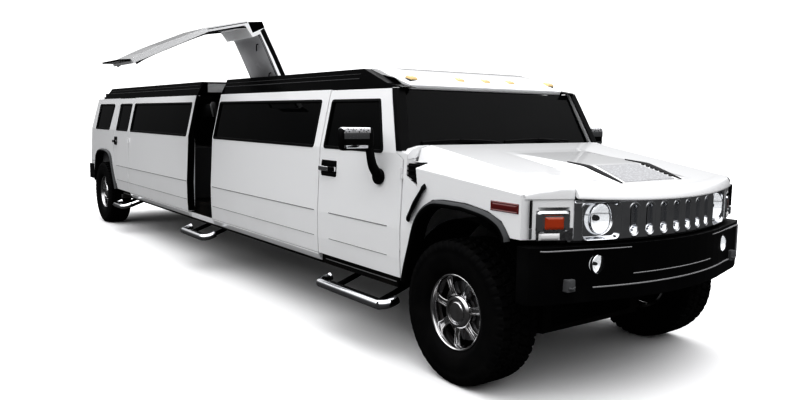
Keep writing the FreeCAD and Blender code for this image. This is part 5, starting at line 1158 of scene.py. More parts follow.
# Post cover: a thin black section of (x, y) over the post's side and front, carried up the post.
def postCover(values):
    foot, head = values["post"]
    z = foot + np.linspace(0, 1, 20) * (head - foot)
    rear, front = np.interp(z, *values["postRear"]), np.interp(z, *values["postFront"])
    y = sideY(z)
    rows = [(rear, y + 0.004), (rear, y - 0.002), (rear + 0.004, y - 0.004), (front - 0.006, y - 0.004)]
    rows += [(front + 0.001, y - 0.001), (front + 0.003, y + 0.006), (front + 0.004, y + 0.06)]
    rows += [(front - 0.004, y + 0.06)]
    return Form().loft(np.stack([xyz(a, b, z) for a, b in rows], 1))


cowlTrim = postCover(cowlSet)
cowlTrim.add(plate(rounded(cowlSet["vent"], 0.008), (0, -0.972, 0), forward, upward, -0.02, 0.0, 0.003))
count, first, pitch = cowlSet["slats"]
for number in range(count):
    slat = np.array(cowlSet["slat"]) + (0, 0, first + pitch * number)
    cowlTrim.add(Form().loft(np.stack([slat + (dx, 0, 0) for dx in np.linspace(0, cowlSet["slatLong"], 6)])))
makePiece(cowlTrim.both(), "cowl_trim", "black_plastic", "body", sharp=50)

strapSet = {
    "path": (
        (3.548, -1.004, 1.148), (3.538, -1.012, 1.13), (3.475, -1.016, 1.043), (3.412, -1.013, 0.956),
        (3.403, -1.006, 0.943),
    ),
    "thick": ((0, 0.016), (0.12, 0.027), (0.3, 0.02), (0.5, 0.028), (0.7, 0.02), (0.9, 0.026), (1, 0.015)),
    "foot": (-0.022, 0.022, -0.016, 0.016, 0.006),
    "footAt": (3.545, -1.003, 1.143),
}
strap = smoothPath(strapSet["path"], 8)
thick = np.interp(np.linspace(0, 1, len(strap)), *zip(*strapSet["thick"]))
hoodStraps = rod(strap, thick, 14, squeeze=(1.25, 0.55))
foot = roundedBox(*strapSet["foot"])
hoodStraps.add(plate(foot, strapSet["footAt"], (0.8, 0, 0.6), (-0.6, 0, 0.8), -0.004, 0.006, 0.002))
makePiece(hoodStraps.both(), "hood_straps", "black_plastic", "hood_shell")

wiperSet = {
    "wipers": ((-0.30, -0.78, -0.12), (0.34, -0.02, 0.66)),  # pivot less its offset, blade's ends
    "offset": 0.24,
    "blade": (1.395, 0.012, 0.007),  # height at its ends, bow, radius
    "arm": (0.009, 0.006),
    "cap": ((0.0, 0.03), (0.012, 0.028), (0.017, 0.018), (0.018, 0.0), (0.0, 0.0)),
    "screen": (3.239, 1.355, 0.167 / 0.429),  # x at its foot, height there, slope
    "off": (0.93, 0.36),  # the screen's normal, forwards and up
}


def onScreen(y, z, lift=0.012):  # a place a little off the sloping screen
    (x, foot, slope), (ahead, up) = wiperSet["screen"], wiperSet["off"]
    return (x - (z - foot) * slope + lift * ahead, y, z + lift * up)


# Wipers: an arm from each pivot to a bowed blade that lies on the screen's lower edge.
wipers = Form()
for pivot, start, end in wiperSet["wipers"]:
    height, bow, size = wiperSet["blade"]
    bowed = height + bow * np.sin(np.linspace(0, math.pi, 18))
    blade = [onScreen(y, z) for y, z in zip(np.linspace(start, end, 18), bowed)]
    wipers.add(rod(blade, size, 8, squeeze=(1, 1.6)))
    foot = pivot + wiperSet["offset"]
    arm = [(3.285, foot, 1.375), (3.262, pivot + 0.14, 1.402), onScreen((start + end) / 2, 1.408, 0.026)]
    wipers.add(rod(smoothPath(arm, 6), (wiperSet["arm"][0],) * 12 + (wiperSet["arm"][1],), 10))
    wipers.add(turned(wiperSet["cap"], (3.286, foot, 1.356), upward, 24))
makePiece(wipers, "wipers", "black_plastic", "body", sharp=50)
print("cowl trim made")

mirrorSet = {
    "across": (-1.288, -1.047),
    "middle": (3.036, 1.424),  # x, z
    "half": (0.041, 0.075),
    "powers": (0.55, 0.5),  # below 1 the section grows squarer
    "bands": (  # over the housing: places, how proud, kind, points of the section
        ((-1.284, -1.075, 22), 0.002, 0, (7, 19)),
        ((-1.282, -1.08, 22), 0.0025, 3, (2, 8)),
        ((-1.282, -1.09, 22), 0.003, 0, (0, 3)),
        ((-1.282, -1.10, 22), 0.003, 0, (43, 47)),
    ),
    "glass": (-1.272, -1.062, 1.362, 1.486, 0.016),
    "arm": ((3.04, -1.072, 1.42), (3.048, -1.066, 1.34), (3.056, -1.05, 1.25), (3.056, -1.012, 1.19)),
    "armThick": (0.022, 0.03),
    "foot": (0.058, 0.054),  # half its length and height
    "footAt": (3.052, -0.985, 1.175),
}


# Mirror: a rounded black housing with a bright cap in three bands, a glass at its back, a black arm, an oval foot.
# The housing's section is a circle whose sine and cosine are raised to a power; it narrows over its last 20 mm.
def mirrorForm(values):
    form = Form()
    angle = np.linspace(0, 2 * math.pi, 49)[:-1]
    low, high = values["across"]

    circle = np.stack((np.cos(angle), np.sin(angle)), -1)
    section = np.sign(circle) * np.abs(circle) ** np.array(values["powers"])
    middle, half = np.array(values["middle"]), np.array(values["half"])

    def shell(places, grow):
        rings = []
        for place in places:
            end = min(max(min(place - low, high - place) / 0.02, 0), 1)
            size = 0.72 + 0.28 * math.sqrt(end * (2 - end))
            rings.append(np.insert(middle + section * (half * size + grow), 1, place, 1))
        return np.stack(rings)

    form.loft(shell(np.linspace(low, high, 25), 0.0), 1)
    for places, proud, kind, (first, last) in values["bands"]:
        form.grid(shell(np.linspace(*places), proud)[:, first:last], kind=kind)
    glass = roundedBox(*values["glass"])
    form.add(plate(glass, (2.996, 0, 0), leftward, upward, -0.006, 0.0, 0.002, kind=2))
    arm = smoothPath(values["arm"], 8)
    form.add(rod(arm, np.linspace(*values["armThick"], len(arm)), 16, kind=1, squeeze=(1.2, 0.8)))
    turn = np.linspace(0, 2 * math.pi, 33)[:-1]
    foot = np.stack((np.cos(turn) * values["foot"][0], np.sin(turn) * values["foot"][1]), -1)
    return form.add(plate(foot, values["footAt"], forward, upward, 0.0, 0.03, 0.008, kind=1))


def mirrorNet():  # bright metal seen through a fine net
    net = Finish("mirrorNet", Metallic=0.8, Roughness=0.35)
    cells = net.make("ShaderNodeTexVoronoi", take="Distance", Vector=net.place, Scale=90.0)
    net.set(Base_Color=net.mix(net.span(cells, 0.3, 0.55), (0.04, 0.04, 0.042, 1), (0.5, 0.5, 0.51, 1)))
    return net.material


mirrorLooks = ["chrome", "black_plastic", "chrome", mirrorNet()]
mirror = mirrorForm(mirrorSet)
makeSides(mirror, "door_mirror_%s", mirrorLooks, "front_door_%s", ["mirror_%s"], sharp=50)
print("mirrors made")

stepSet = {
    "spans": ((2.375, 3.275), (-0.485, 0.205), (-3.075, -2.595)),
    "bend": (  # the tube's end: in from its end, y, z
        (0.036, -0.975, 0.378), (0.034, -1.0, 0.368), (0.042, -1.045, 0.355), (0.075, -1.08, 0.349),
        (0.13, -1.088, 0.348),
    ),
    "tube": 0.032,
    "tread": (-1.07, -1.003, 0.352),  # outer edge, inner edge, height
    "ribs": (4, -1.058, 0.015, 0.0028),  # count, first place, pitch, radius
    "armsAt": (0.2, 0.8),  # in shares of the length
    "arm": ((-1.09, 0.34), (-1.02, 0.338), (-0.93, 0.362), (-0.6, 0.48), (-0.474, 0.515)),
}


# Step: a bright tube with bent ends, a ribbed tread between it and the sill, and bent arms that run to the frame.
def stepForm(values, start, end):
    path = [(start + x, y, z) for x, y, z in values["bend"]] + [(end - x, y, z) for x, y, z in values["bend"][::-1]]
    form = rod(smoothPath(path, 6), values["tube"], 24)
    outer, inner, level = values["tread"]
    tread = roundedBox(start + 0.05, end - 0.05, outer, inner, 0.012)
    form.add(plate(tread, (0, 0, level), forward, leftward, -0.006, 0.004, 0.002, kind=1))
    count, first, pitch, size = values["ribs"]
    for row in range(count):
        y = first + pitch * row
        form.add(rod([(start + 0.07, y, level + 0.005), (end - 0.07, y, level + 0.005)], size, 8, kind=1))
    for share in values["armsAt"]:
        middle = start + (end - start) * share
        form.add(rod(smoothPath([(middle, y, z) for y, z in values["arm"]], 7), 0.019, 16, kind=1))
    return form


steps = Form()
for start, end in stepSet["spans"]:
    steps.add(stepForm(stepSet, start, end))
makePiece(steps.both(), "step_tubes", ["chrome", "black_plastic"], "body", ["side_steps"], sharp=50)

# Running boards' lower edge: a fine grey line along the rocker, a painted highlight.
boardSet = {"spans": ((2.3, 3.21), (-3.06, -2.5)), "place": (-0.9515, 0.487), "radius": 0.004}
boardHighlight = Form()
for start, end in boardSet["spans"]:
    boardHighlight.add(rod([(x, *boardSet["place"]) for x in np.linspace(start, end, 12)], boardSet["radius"], 8))
makePiece(boardHighlight.both(), "board_line", creaseDark, "body")
print("steps made")

# wing door and its opening
wingSet = {
    "open": 64,  # degrees, at rest
    "hinge": (0.0, -0.143, 1.901),
    "ends": (0.1285, -0.4885),  # where the rubber runs along the end faces
    "innerEdge": (
        (-0.937, 0.56), (-0.948, 0.66), (-0.949, 0.852), (-0.928, 1.336), (-0.848, 1.68), (-0.80, 1.757),
        (-0.72, 1.82), (-0.60, 1.831), (-0.20, 1.831),
    ),
    "roofBand": ((-0.752, 1.902), (-0.45, 1.912), (-0.16, 1.914), (-0.16, 1.868), (-0.45, 1.866), (-0.74, 1.852)),
    "outerEdge": ((-0.962, 1.336), (-0.925, 1.50), (-0.885, 1.68), (-0.868, 1.752)),
    "loops": (-0.62, -0.30),
    "loop": ((0.04, 0.0, 1.826), (0.04, 0.0, 1.80), (0.03, 0.02, 1.792), (0.0, 0.06, 1.79)),
    "lining": ((-0.843, 1.70), (-0.80, 1.757), (-0.722, 1.815), (-0.60, 1.823), (-0.40, 1.825), (-0.22, 1.826)),
    "liningSpan": (-0.4975, 0.6355),  # start, length
    "crown": 0.010,
}


def raisedUp(form, values):  # turns closed places up about the hinge line
    angle, hinge = math.radians(values["open"]), np.array(values["hinge"])
    turn = np.array(((1, 0, 0), (0, math.cos(angle), math.sin(angle)), (0, -math.sin(angle), math.cos(angle))))
    form.points = [(block - hinge) @ turn.T + hinge for block in form.points]
    return form


# Wing lining: a sheet carried along x whose section follows the door's bend; it crowns by powers of two sines.
def wingLining(values):
    u, v = patch((0, 1, 25), (0, 1, 29))
    bend = smoothPath([(0, y, z) for y, z in values["lining"]], 8)
    y, z = (np.interp(u, np.linspace(0, 1, len(bend)), bend[:, axis]) for axis in (1, 2))
    crown = values["crown"] * np.sin(math.pi * v) ** 0.4 * np.sin(math.pi * u) ** 0.4
    start, length = values["liningSpan"]
    face = xyz(start + length * v, y, z - crown)
    back = xyz(start + length * v, y - 0.012, z + 0.022)
    return Form().loft(np.concatenate((face, back[:, ::-1]), 1), kind=1)


# Wing trim: rubber along the inner edge of both end faces, wide black bands over the roof portion's outer edge,
# pull loops and a grey lining.
wingTrim = Form()
innerEdge, outerEdge = (smoothPath([(0, y, z) for y, z in wingSet[key]], 8) for key in ("innerEdge", "outerEdge"))
for x in wingSet["ends"]:
    wingTrim.add(rod(innerEdge + (x, 0, 0), 0.0105, 12))
wingTrim.add(plate(np.array(wingSet["roofBand"]), (0.139, 0, 0), leftward, upward, -0.004, 0.002, 0.001))
wingTrim.add(rod(outerEdge + (0.1375, 0, 0), 0.0045, 8))
for y in wingSet["loops"]:
    wingTrim.add(rod(np.array(wingSet["loop"]) + (0, y, 0), 0.006, 10))
wingTrim.add(wingLining(wingSet))
liningGrey = mouldedPlastic("liningGrey", (0.42, 0.42, 0.43, 1), 0.22, 0.1)
wingLooks = ["black_plastic", liningGrey]
makePiece(raisedUp(wingTrim, wingSet), "wing_trim", wingLooks, "wing_door_leaf", sharp=60)

openingSet = {
    "covers": ((-0.510, 0.002), (0.150, -0.002)),  # x, how proud
    "depth": (1.31, 0.074, 0.044),  # below this height, above it
    "edges": (-0.507, 0.1475),
    "edgeTop": ((-0.86, 1.79), (-0.83, 1.85), (-0.80, 1.897), (-0.74, 1.903), (-0.4, 1.91), (-0.17, 1.912)),
    "gusset": (  # at the opening's front upper corner
        (-0.962, 1.40), (-0.913, 1.62), (-0.889, 1.73), (-0.872, 1.79), (-0.835, 1.86), (-0.80, 1.90),
        (-0.74, 1.90), (-0.79, 1.82), (-0.835, 1.72), (-0.875, 1.60), (-0.925, 1.42),
    ),
    "roofEnd": ((-0.757, 1.80), (-0.16, 1.812), (-0.16, 1.902), (-0.735, 1.894), (-0.757, 1.875)),
    "roofLip": (-0.146, -0.140, 1.80, 1.886, 0.002, 3),
}


# End cover: it follows the wall's section a little proud of the opening's end face.
def endCover(values, x, out):
    z = np.concatenate((np.linspace(0.54, 1.296, 16), np.linspace(1.336, 1.757, 10)))
    split, below, above = values["depth"]
    place = np.full(len(z), x)
    outer = xyz(place, sideY(z) + 0.001, z)
    inner = xyz(place, sideY(z) + np.where(z < split, below, above), z)
    near, far = (out, 0, 0), (out * 1.2, 0, 0)
    return Form().grid(np.stack((outer - near, outer + far, inner + far, inner - near), 1), loopColumns=True)


# Opening trim: black covers over the end faces, a thick rubber along the edge and on over the roof, painted ends.
openingTrim = Form()
for x, out in openingSet["covers"]:
    openingTrim.add(endCover(openingSet, x, out))
heights = np.concatenate((np.linspace(0.56, 1.30, 12), np.linspace(1.36, 1.74, 8)))
for x in openingSet["edges"]:
    edge = [(x, float(sideY(z)) + 0.009, z) for z in heights] + [(x, y, z) for y, z in openingSet["edgeTop"]]
    openingTrim.add(rod(edge, 0.0072, 10))
for outline, x, low, high, edge, kind in (
    (np.array(openingSet["gusset"]), 0.151, -0.002, 0.004, 0.001, 0),
    (np.array(openingSet["roofEnd"]), -0.5095, 0.0, 0.0015, 0.0005, 1),
    (roundedBox(*openingSet["roofLip"]), -0.18, -0.316, 0.316, 0.002, 1),
):
    openingTrim.add(plate(outline, (x, 0, 0), leftward, upward, low, high, edge, kind=kind))
makePiece(openingTrim, "opening_trim", ["black_plastic", "body_paint"], "body", sharp=50)

# Sill skirts: painted strips that fold in under the sides, open below the front doors where the running boards hang.
skirtSet = {
    "section": ((-0.9515, 0.526), (-0.9885, 0.5285), (-0.9895, 0.52), (-0.962, 0.470), (-0.9515, 0.468)),
    "both": ((-2.62, -0.515), (0.155, 2.25)),
    "left": (-0.505, 0.145),
    "underDoor": (-0.5, 0.14),
    "low": ((-0.9515, 0.466), (-0.9515, 0.522), (-0.9605, 0.518), (-0.9585, 0.47)),
}


def skirt(start, end):
    return carried(rounded(skirtSet["section"], 0.003, 3), np.linspace(start, end, 30))


skirts = Form()
for span in skirtSet["both"]:
    skirts.add(skirt(*span))
skirts.both().add(skirt(*skirtSet["left"]).mirrored())
skirts.add(carried(skirtSet["low"], np.linspace(*skirtSet["underDoor"], 10)))
makePiece(skirts, "sill_skirts", "body_paint", "body", sharp=40)
print("wing door trim made")

liningSet = {  # sheets as (start, end, low, high, how far in from the side)
    "walls": ((-2.60, -0.53), (0.17, 2.20)),
    "opening": (-0.53, 0.17),  # on the left side only
    "wall": (0.655, 1.295, 0.079),
    "frieze": (1.70, 1.755, 0.049),
    "posts": ((-2.64, -2.61, 1.30, 1.75, 0.049), (2.16, 2.20, 1.30, 1.75, 0.049)),
    "head": ((-4.0, 2.5, 66), (-0.70, 0.70, 29)),
    "headHigh": (1.858, 0.012),  # height in the middle, fall to the sides
    "headCut": (34, 43, 12),  # rows beside the opening, first column left there
    "rear": ((-4.38, -3.46), (-3.36, -2.72)),
    "rearWall": (0.75, 1.29, 0.079),
    "rearFrieze": (1.70, 1.80, 0.049),
    "corner": (-4.38, -4.05, 1.2, 1.80, 0.052),
    "tail": (-4.39, 0.8, 1.85),  # x, low, high
}


def wallSheet(start, end, low, high, inwards):  # follows the side, a little inside it
    along, up = patch((start, end, max(int((end - start) / 0.1), 2)), (low, high, 9))
    return xyz(along, sideY(up) + inwards, up)


# Cabin lining: sheets over the inner walls, between and round the windows, and a headliner that falls to its sides.
def cabinLining(values):
    form = Form()
    for span in values["walls"]:
        form.grid(wallSheet(*span, *values["wall"])).grid(wallSheet(*span, *values["frieze"]))
    form.both()
    middle = Form()
    for key in ("wall", "frieze"):
        middle.grid(wallSheet(*values["opening"], *values[key]))
    form.add(middle.mirrored())
    for post in values["posts"]:
        form.add(Form().grid(wallSheet(*post)).both())
    along, across = patch(*values["head"])
    height, fall = values["headHigh"]
    head = xyz(along, across, height - fall * (np.abs(across) / 0.70) ** 6)
    first, last, column = values["headCut"]
    form.grid(head[: first + 1]).grid(head[last - 1 :]).grid(head[first:last, column:])
    for span in values["rear"]:
        rear = Form().grid(wallSheet(*span, *values["rearWall"])).grid(wallSheet(*span, *values["rearFrieze"]))
        form.add(rear.both())
    form.add(Form().grid(wallSheet(*values["corner"])).both())
    x, low, high = values["tail"]
    across, up = patch((-1, 1, 9), (low, high, 12))
    return form.grid(xyz(np.full_like(up, x), across * (-0.075 - sideY(up)), up))


makePiece(cabinLining(liningSet), "cabin_lining", "cabin_trim", "body", sharp=50)
print("lining made")

# Door trim: a sheet over each door's inner wall and an armrest with rounded edges.
doorTrimSet = {  # sheets as (start, end, low, high), armrest's start and end
    "front": (((2.30, 3.16, 0.62, 1.29),), (2.42, 2.98)),
    "rear": (((-3.22, -2.70, 1.0, 1.29), (-3.02, -2.70, 0.62, 1.0)), (-3.1, -2.76)),
}
for door, (sheets, rest) in doorTrimSet.items():
    trim = Form()
    for sheet in sheets:
        trim.grid(wallSheet(*sheet, 0.078))
    arm = roundedBox(*rest, 1.02, 1.085, 0.02)
    trim.add(plate(arm, (0, -0.926, 0), forward, upward, -0.045, 0.0, 0.012))
    makeSides(trim, "door_trim_" + door + "_%s", "cabin_trim", door + "_door_%s", sharp=50)

# Roof trim: grey threads along each rail, and marker lamps as low domes on dark bases.
railSet = {
    "spans": ((-3.98, -0.53), (0.17, 2.58)),
    "threads": ((1.838, 0.0045), (1.872, 0.003)),  # height, radius
    "face": (-0.868, 1.765, 0.052 / 0.145),  # the rail's side: place across at its foot, height there, slope
}
railLines = Form()
foot, low, slope = railSet["face"]
for start, end in railSet["spans"]:
    for z, size in railSet["threads"]:
        y = foot + (z - low) * slope - 0.001
        railLines.add(rod([(x, y, z) for x in np.linspace(start, end, 24)], size, 8))
railGrey = mouldedPlastic("railGrey", (0.06, 0.06, 0.062, 1), 0.4, 0.1)
makePiece(railLines.both(), "rail_lines", railGrey, "body")

roofLampSet = {
    "half": 0.746,  # the roof's, across
    "places": (-0.92, -0.34, 0.0, 0.34, 0.92),  # in its shares
    "x": 2.988,
    "size": (0.033, 0.031),  # half, along and across
    "dome": 0.024,
    "slope": 0.008,
    "foot": (-0.032, 0.032, -0.034, 0.034, 0.01),
}


# Roof lamp: a dome whose height is the root of one less the fourth power of the larger coordinate.
def roofLamp(values, middle):
    across, along = patch((-1, 1, 17), (-1, 1, 17))
    dome = np.maximum(1 - np.maximum(np.abs(across), np.abs(along)) ** 4, 0) ** 0.5
    long, wide = values["size"]
    height = 1.832 - along * values["slope"] + values["dome"] * dome - 0.004
    form = Form().grid(xyz(values["x"] + along * long, middle + across * wide, height), kind=1)
    foot = roundedBox(*values["foot"])
    return form.add(plate(foot, (values["x"], middle, 1.828), leftward, (-0.97, 0, 0.24), -0.012, 0.004, 0.002))


roofLamps = Form()
for share in roofLampSet["places"]:
    roofLamps.add(roofLamp(roofLampSet, roofLampSet["half"] * share))
lensPale = lampGlass("roofLens", (0.72, 0.5, 0.2, 1), 1.0, 80.0)
makePiece(roofLamps, "roof_lamps", ["grey_plastic", lensPale], "body", ["signal_lamps"], sharp=50)
print("roof trim made")

cabRoofSet = {
    "top": (  # x, z and how much of the shoulder's fall, from the screen to the rear
        (3.068, 1.784, 0.0), (3.058, 1.80, 0.3), (3.032, 1.82, 0.7), (2.96, 1.852, 1), (2.892, 1.876, 1),
        (2.80, 1.90, 1), (2.715, 1.918, 0.6), (2.65, 1.918, 0.3), (2.595, 1.916, 0.0),
    ),
    "under": ((2.595, 1.872), (2.715, 1.868), (2.892, 1.836), (3.012, 1.774), (3.052, 1.756)),
    "half": 0.7535,
    "shoulder": (0.6, 0.034),  # where it starts, how far it falls
}


# Cab roof: its section carried across and let down towards the rails by a square law, in a soft shoulder.
def cabRoof(values):
    half, (start, low) = values["half"], values["shoulder"]
    rings = []
    for y in np.concatenate((np.linspace(-half, -0.56, 14), np.linspace(-0.5, 0.5, 21), np.linspace(0.56, half, 14))):
        fall = low * (max(abs(y) - start, 0) / (half - start)) ** 2
        top = [(x, y, z - fall * share) for x, z, share in values["top"]]
        rings.append(top + [(x, y, z) for x, z in values["under"]])
    return Form().loft(np.asarray(rings))


makePiece(cabRoof(cabRoofSet), "cab_roof_shell", "body_paint", "body", ["cab_roof"], sharp=30)

# Rail noses: black fairings that carry the rails' front down to the screen's upper corners.
noseRings = [  # middle, half width
    (2.56, -0.775, 1.884, 0.04), (2.64, -0.776, 1.858, 0.04), (2.79, -0.778, 1.815, 0.038),
    (2.89, -0.781, 1.795, 0.034), (2.98, -0.785, 1.777, 0.026), (3.03, -0.789, 1.772, 0.016),
]
noseSection = ((-1, -0.03), (-0.6, 0.012), (0.6, 0.016), (1, -0.03))  # across in half widths, up
railNoses = Form().loft(np.array([[(x, y + half * a, z + b) for a, b in noseSection] for x, y, z, half in noseRings]))
makePiece(railNoses.both(), "rail_noses", "black_paint", "body", sharp=50)

# Cowl caps: soft shoulders behind the hood's rear corners.
capSet = {
    "section": ((-0.982, 1.30), (-0.979, 1.338), (-0.945, 1.372), (-0.88, 1.388), (-0.80, 1.392), (-0.80, 1.335)),
    "rings": ((3.284, 0.02), (3.29, 0.008), (3.30, 0.002), (3.34, 0.0), (3.347, 0.003)),  # x, how much lower
}
section = rounded(capSet["section"], 0.01, 4)
cowlCaps = Form().loft(np.stack([np.insert(section - (0, lower), 0, x, 1) for x, lower in capSet["rings"]]))
makePiece(cowlCaps.both(), "cowl_caps", "body_paint", "body", sharp=40)

tailSet = {"middle": (-0.835, 1.04), "half": (0.0365, 0.1415), "face": 4.5447, "split": 0.045, "rib": 0.011}


# Tail lamp: a sheet over (across, up) that rises at its rounded edge, with ribs and two fine splits; it is clear
# between them and red above and below.
def tailLamp(values):
    half, tall = values["half"]
    across, up = patch((-half, half, 25), (-tall, tall, 71))
    edge = boxDistance(across, up, half - 0.001, tall - 0.001, 0.012)
    lift = 0.0128 * step(-edge, 0, 0.007) - 0.003 * np.exp(-((np.abs(up) - values["split"]) / 0.004) ** 2)
    lift += 0.0006 * np.sin(up * 2 * math.pi / values["rib"]) * step(-edge, 0.008, 0.014)
    y, z = values["middle"]
    form = Form().grid(xyz(-values["face"] - lift, y + across, z + up))
    form.kinds = (np.abs(up[:-1, :-1].ravel()) < values["split"]).astype(int).tolist()
    return form


tailLooks = ["red_lens", lampGlass("reverseLens", (0.75, 0.76, 0.78, 1), 1.0, 60.0)]
makePiece(tailLamp(tailSet).both(), "tail_lamp_lenses", tailLooks, "body", ["tail_lamps"], sharp=60)
print("tail made")

# Cushions: each kind is a rounded box, a little smaller than its place, remeshed and blown up as cloth. Its flat
# side and its sewn channels hold still, so the panels crown between them, and no point moves past a cap.
cushionSet = {  # size, voxel, the side that stays flat (axis, sign), channels (axis, place), cap
    "benchSeat": ((0.842, 0.54, 0.185), 0.0115, (2, -1), ((0, -0.14), (0, 0.14)), 0.026),
    "benchBack": ((0.842, 0.14, 0.365), 0.0115, (1, 1), ((0, -0.14), (0, 0.14)), 0.024),
    "rearSeat": ((0.55, 0.572, 0.185), 0.0115, (2, -1), ((1, -0.095), (1, 0.095)), 0.026),
    "rearBack": ((0.14, 0.572, 0.49), 0.0115, (0, -1), ((1, -0.095), (1, 0.095)), 0.024),
    "squab": ((0.515, 0.50, 0.215), 0.009, (2, -1), ((1, -0.125), (1, 0.125)), 0.026),
    "back": ((0.15, 0.49, 0.57), 0.009, (0, -1), ((1, -0.12), (1, 0.12), (2, 0.12)), 0.024),
    "rest": ((0.095, 0.25, 0.17), 0.006, (0, -1), ((1, -0.06), (1, 0.06)), 0.014),
}
clothSet = {
    "gap": 0.011,  # how much smaller than its place a cushion starts
    "held": 0.03,  # how near its flat side the cloth holds still
    "frames": 20,
    "quality": 4,
    "mass": 0.3,
    "pressure": 4.0,
}


def cushionStart(name, size, voxel):
    half = np.asarray(size) / 2 - clothSet["gap"]
    work = bmesh.new()
    bmesh.ops.create_cube(work, size=2.0)
    for point in work.verts:
        point.co = [value * float(reach) for value, reach in zip(point.co, half)]
    radius = min(float(half.min()) * 0.55, 0.045)
    bmesh.ops.bevel(work, geom=list(work.edges), offset=radius, segments=4, profile=0.5, affect="EDGES")
    mesh = bpy.data.meshes.new(name)
    work.to_mesh(mesh)
    work.free()
    block = bpy.data.objects.new(name, mesh)
    bpy.context.scene.collection.objects.link(block)
    remesh = block.modifiers.new("remesh", "REMESH")
    remesh.mode, remesh.voxel_size = "VOXEL", voxel
    bpy.context.view_layer.update()
    fine = bpy.data.meshes.new_from_object(block.evaluated_get(bpy.context.evaluated_depsgraph_get()))
    block.modifiers.clear()
    block.data = fine
    return block


def meshPoints(mesh):
    points = np.empty(len(mesh.vertices) * 3)
    mesh.vertices.foreach_get("co", points)
    return points.reshape(-1, 3)


def makeCloth(block, held, values):
    block.vertex_groups.new(name="pins").add(np.flatnonzero(held).tolist(), 1.0, "REPLACE")
    cloth = block.modifiers.new("cloth", "CLOTH")
    cloth.point_cache.frame_start, cloth.point_cache.frame_end = 1, values["frames"]
    rules = cloth.settings
    rules.quality, rules.mass = values["quality"], values["mass"]
    rules.use_pressure, rules.uniform_pressure_force = True, values["pressure"]
    rules.vertex_group_mass = "pins"
    rules.effector_weights.gravity = 0


def blowUp(kinds):
    scene = bpy.context.scene
    blocks = {}
    for number, (name, (size, voxel, (axis, sign), channels, cap)) in enumerate(kinds.items()):
        block = cushionStart(name, size, voxel)
        points = meshPoints(block.data)
        nearFlat = size[axis] / 2 - clothSet["held"]
        held = points[:, axis] * sign > nearFlat
        for along, place in channels:
            held |= (np.abs(points[:, along] - place) < voxel * 0.55) & (points[:, axis] * sign < nearFlat)
        blocks[name] = (block, points)
        block.location = (0, 0, -3.0 - number)  # each in a place of its own
        makeCloth(block, held, clothSet)
    for frameNumber in range(1, clothSet["frames"] + 1):
        scene.frame_set(frameNumber)
    results = {}
    for name, (block, points) in blocks.items():
        size, cap = np.asarray(kinds[name][0]), kinds[name][-1]
        shift = meshPoints(block.evaluated_get(bpy.context.evaluated_depsgraph_get()).data) - points
        length = np.linalg.norm(shift, axis=1, keepdims=True)
        points = np.clip(points + shift * np.minimum(1, cap / np.maximum(length, 1e-9)), -size / 2, size / 2)
        faces = {}
        for polygon in block.data.polygons:
            faces.setdefault(len(polygon.vertices), []).append(tuple(polygon.vertices))
        results[name] = (points, faces)
        bpy.data.objects.remove(block)
    scene.frame_set(1)
    return results


cushions = blowUp(cushionSet)
print("cushions blown up")


def cushionCopies(kind, places):
    points, faces = cushions[kind]
    form = Form()
    for place in places:
        start = form.count
        form.take(points + np.asarray(place), [])
        for group in faces.values():
            form.faces += (np.asarray(group) + start).tolist()
            form.kinds += [0] * len(group)
    return form


benchPlaces = [-1.972 + 0.846 * number for number in range(5)]
rearPlaces, frontPlaces = (-0.576, 0.0, 0.576), (-0.44, 0.44)
soft = {  # node, kind, places, fill
    "bench_seats": ("lounge_bench", "benchSeat", [(x, 0.618, 0.951) for x in benchPlaces], 0.7),
    "bench_backs": ("lounge_bench", "benchBack", [(x, 0.831, 1.222) for x in benchPlaces], 0.6),
    "rear_seats": ("lounge_bench", "rearSeat", [(-3.005, y, 0.951) for y in rearPlaces], 0.7),
    "rear_backs": ("lounge_bench", "rearBack", [(-3.232, y, 1.292) for y in rearPlaces], 0.6),
    "seat_squabs": ("front_seats", "squab", [(2.59, y, 0.86) for y in frontPlaces], 0.7),
    "seat_backs": ("front_seats", "back", [(2.322, y, 1.235) for y in frontPlaces], 0.6),
    "seat_rests": ("front_seats", "rest", [(2.31, y, 1.612) for y in frontPlaces], 0.8),
}
for name, (node, kind, places, fill) in soft.items():
    piece = makePiece(cushionCopies(kind, places), name, "leather", "body", [node], sharp=75)

# What carries the cushions: plinths with a kick recess, seat frames with rails, posts of the head rests.
plinthSet = {  # sections with a recess at the foot, and the spans that they are carried through
    "side": (
        ((0.375, 0.643), (0.904, 0.643), (0.904, 0.856), (0.355, 0.856), (0.355, 0.74), (0.375, 0.72)),
        (-2.394, 1.834, 12),
    ),
    "rear": (
        ((-3.304, 0.643), (-2.75, 0.643), (-2.75, 0.72), (-2.73, 0.74), (-2.73, 0.856), (-3.304, 0.856)),
        (-0.864, 0.864, 12),
    ),
}
plinths = Form()
for axis, (section, span) in enumerate(plinthSet.values()):
    plinths.add(carried(rounded(section, 0.006, 3), np.linspace(*span), axis))
makePiece(plinths, "bench_plinths", "cabin_trim", "body", ["lounge_bench"], sharp=40)

seatSet = {
    "foot": (2.39, 2.81, 0.2, 0.672, 0.754),  # start, end, half width, low, high
    "rail": (2.37, 2.83, 0.02, 0.643, 0.675),
    "railsAt": (-0.16, 0.16),
    "post": ((2.318, 1.47), (2.312, 1.58)),
    "postShare": 0.35,  # of the rail's distance from the seat's middle
}


# a level plate with rounded corners round a middle
def levelPlate(middle, start, end, half, low, high, radius, edge):
    outline = roundedBox(start, end, middle - half, middle + half, radius)
    return plate(outline, (0, 0, 0), forward, leftward, low, high, edge)


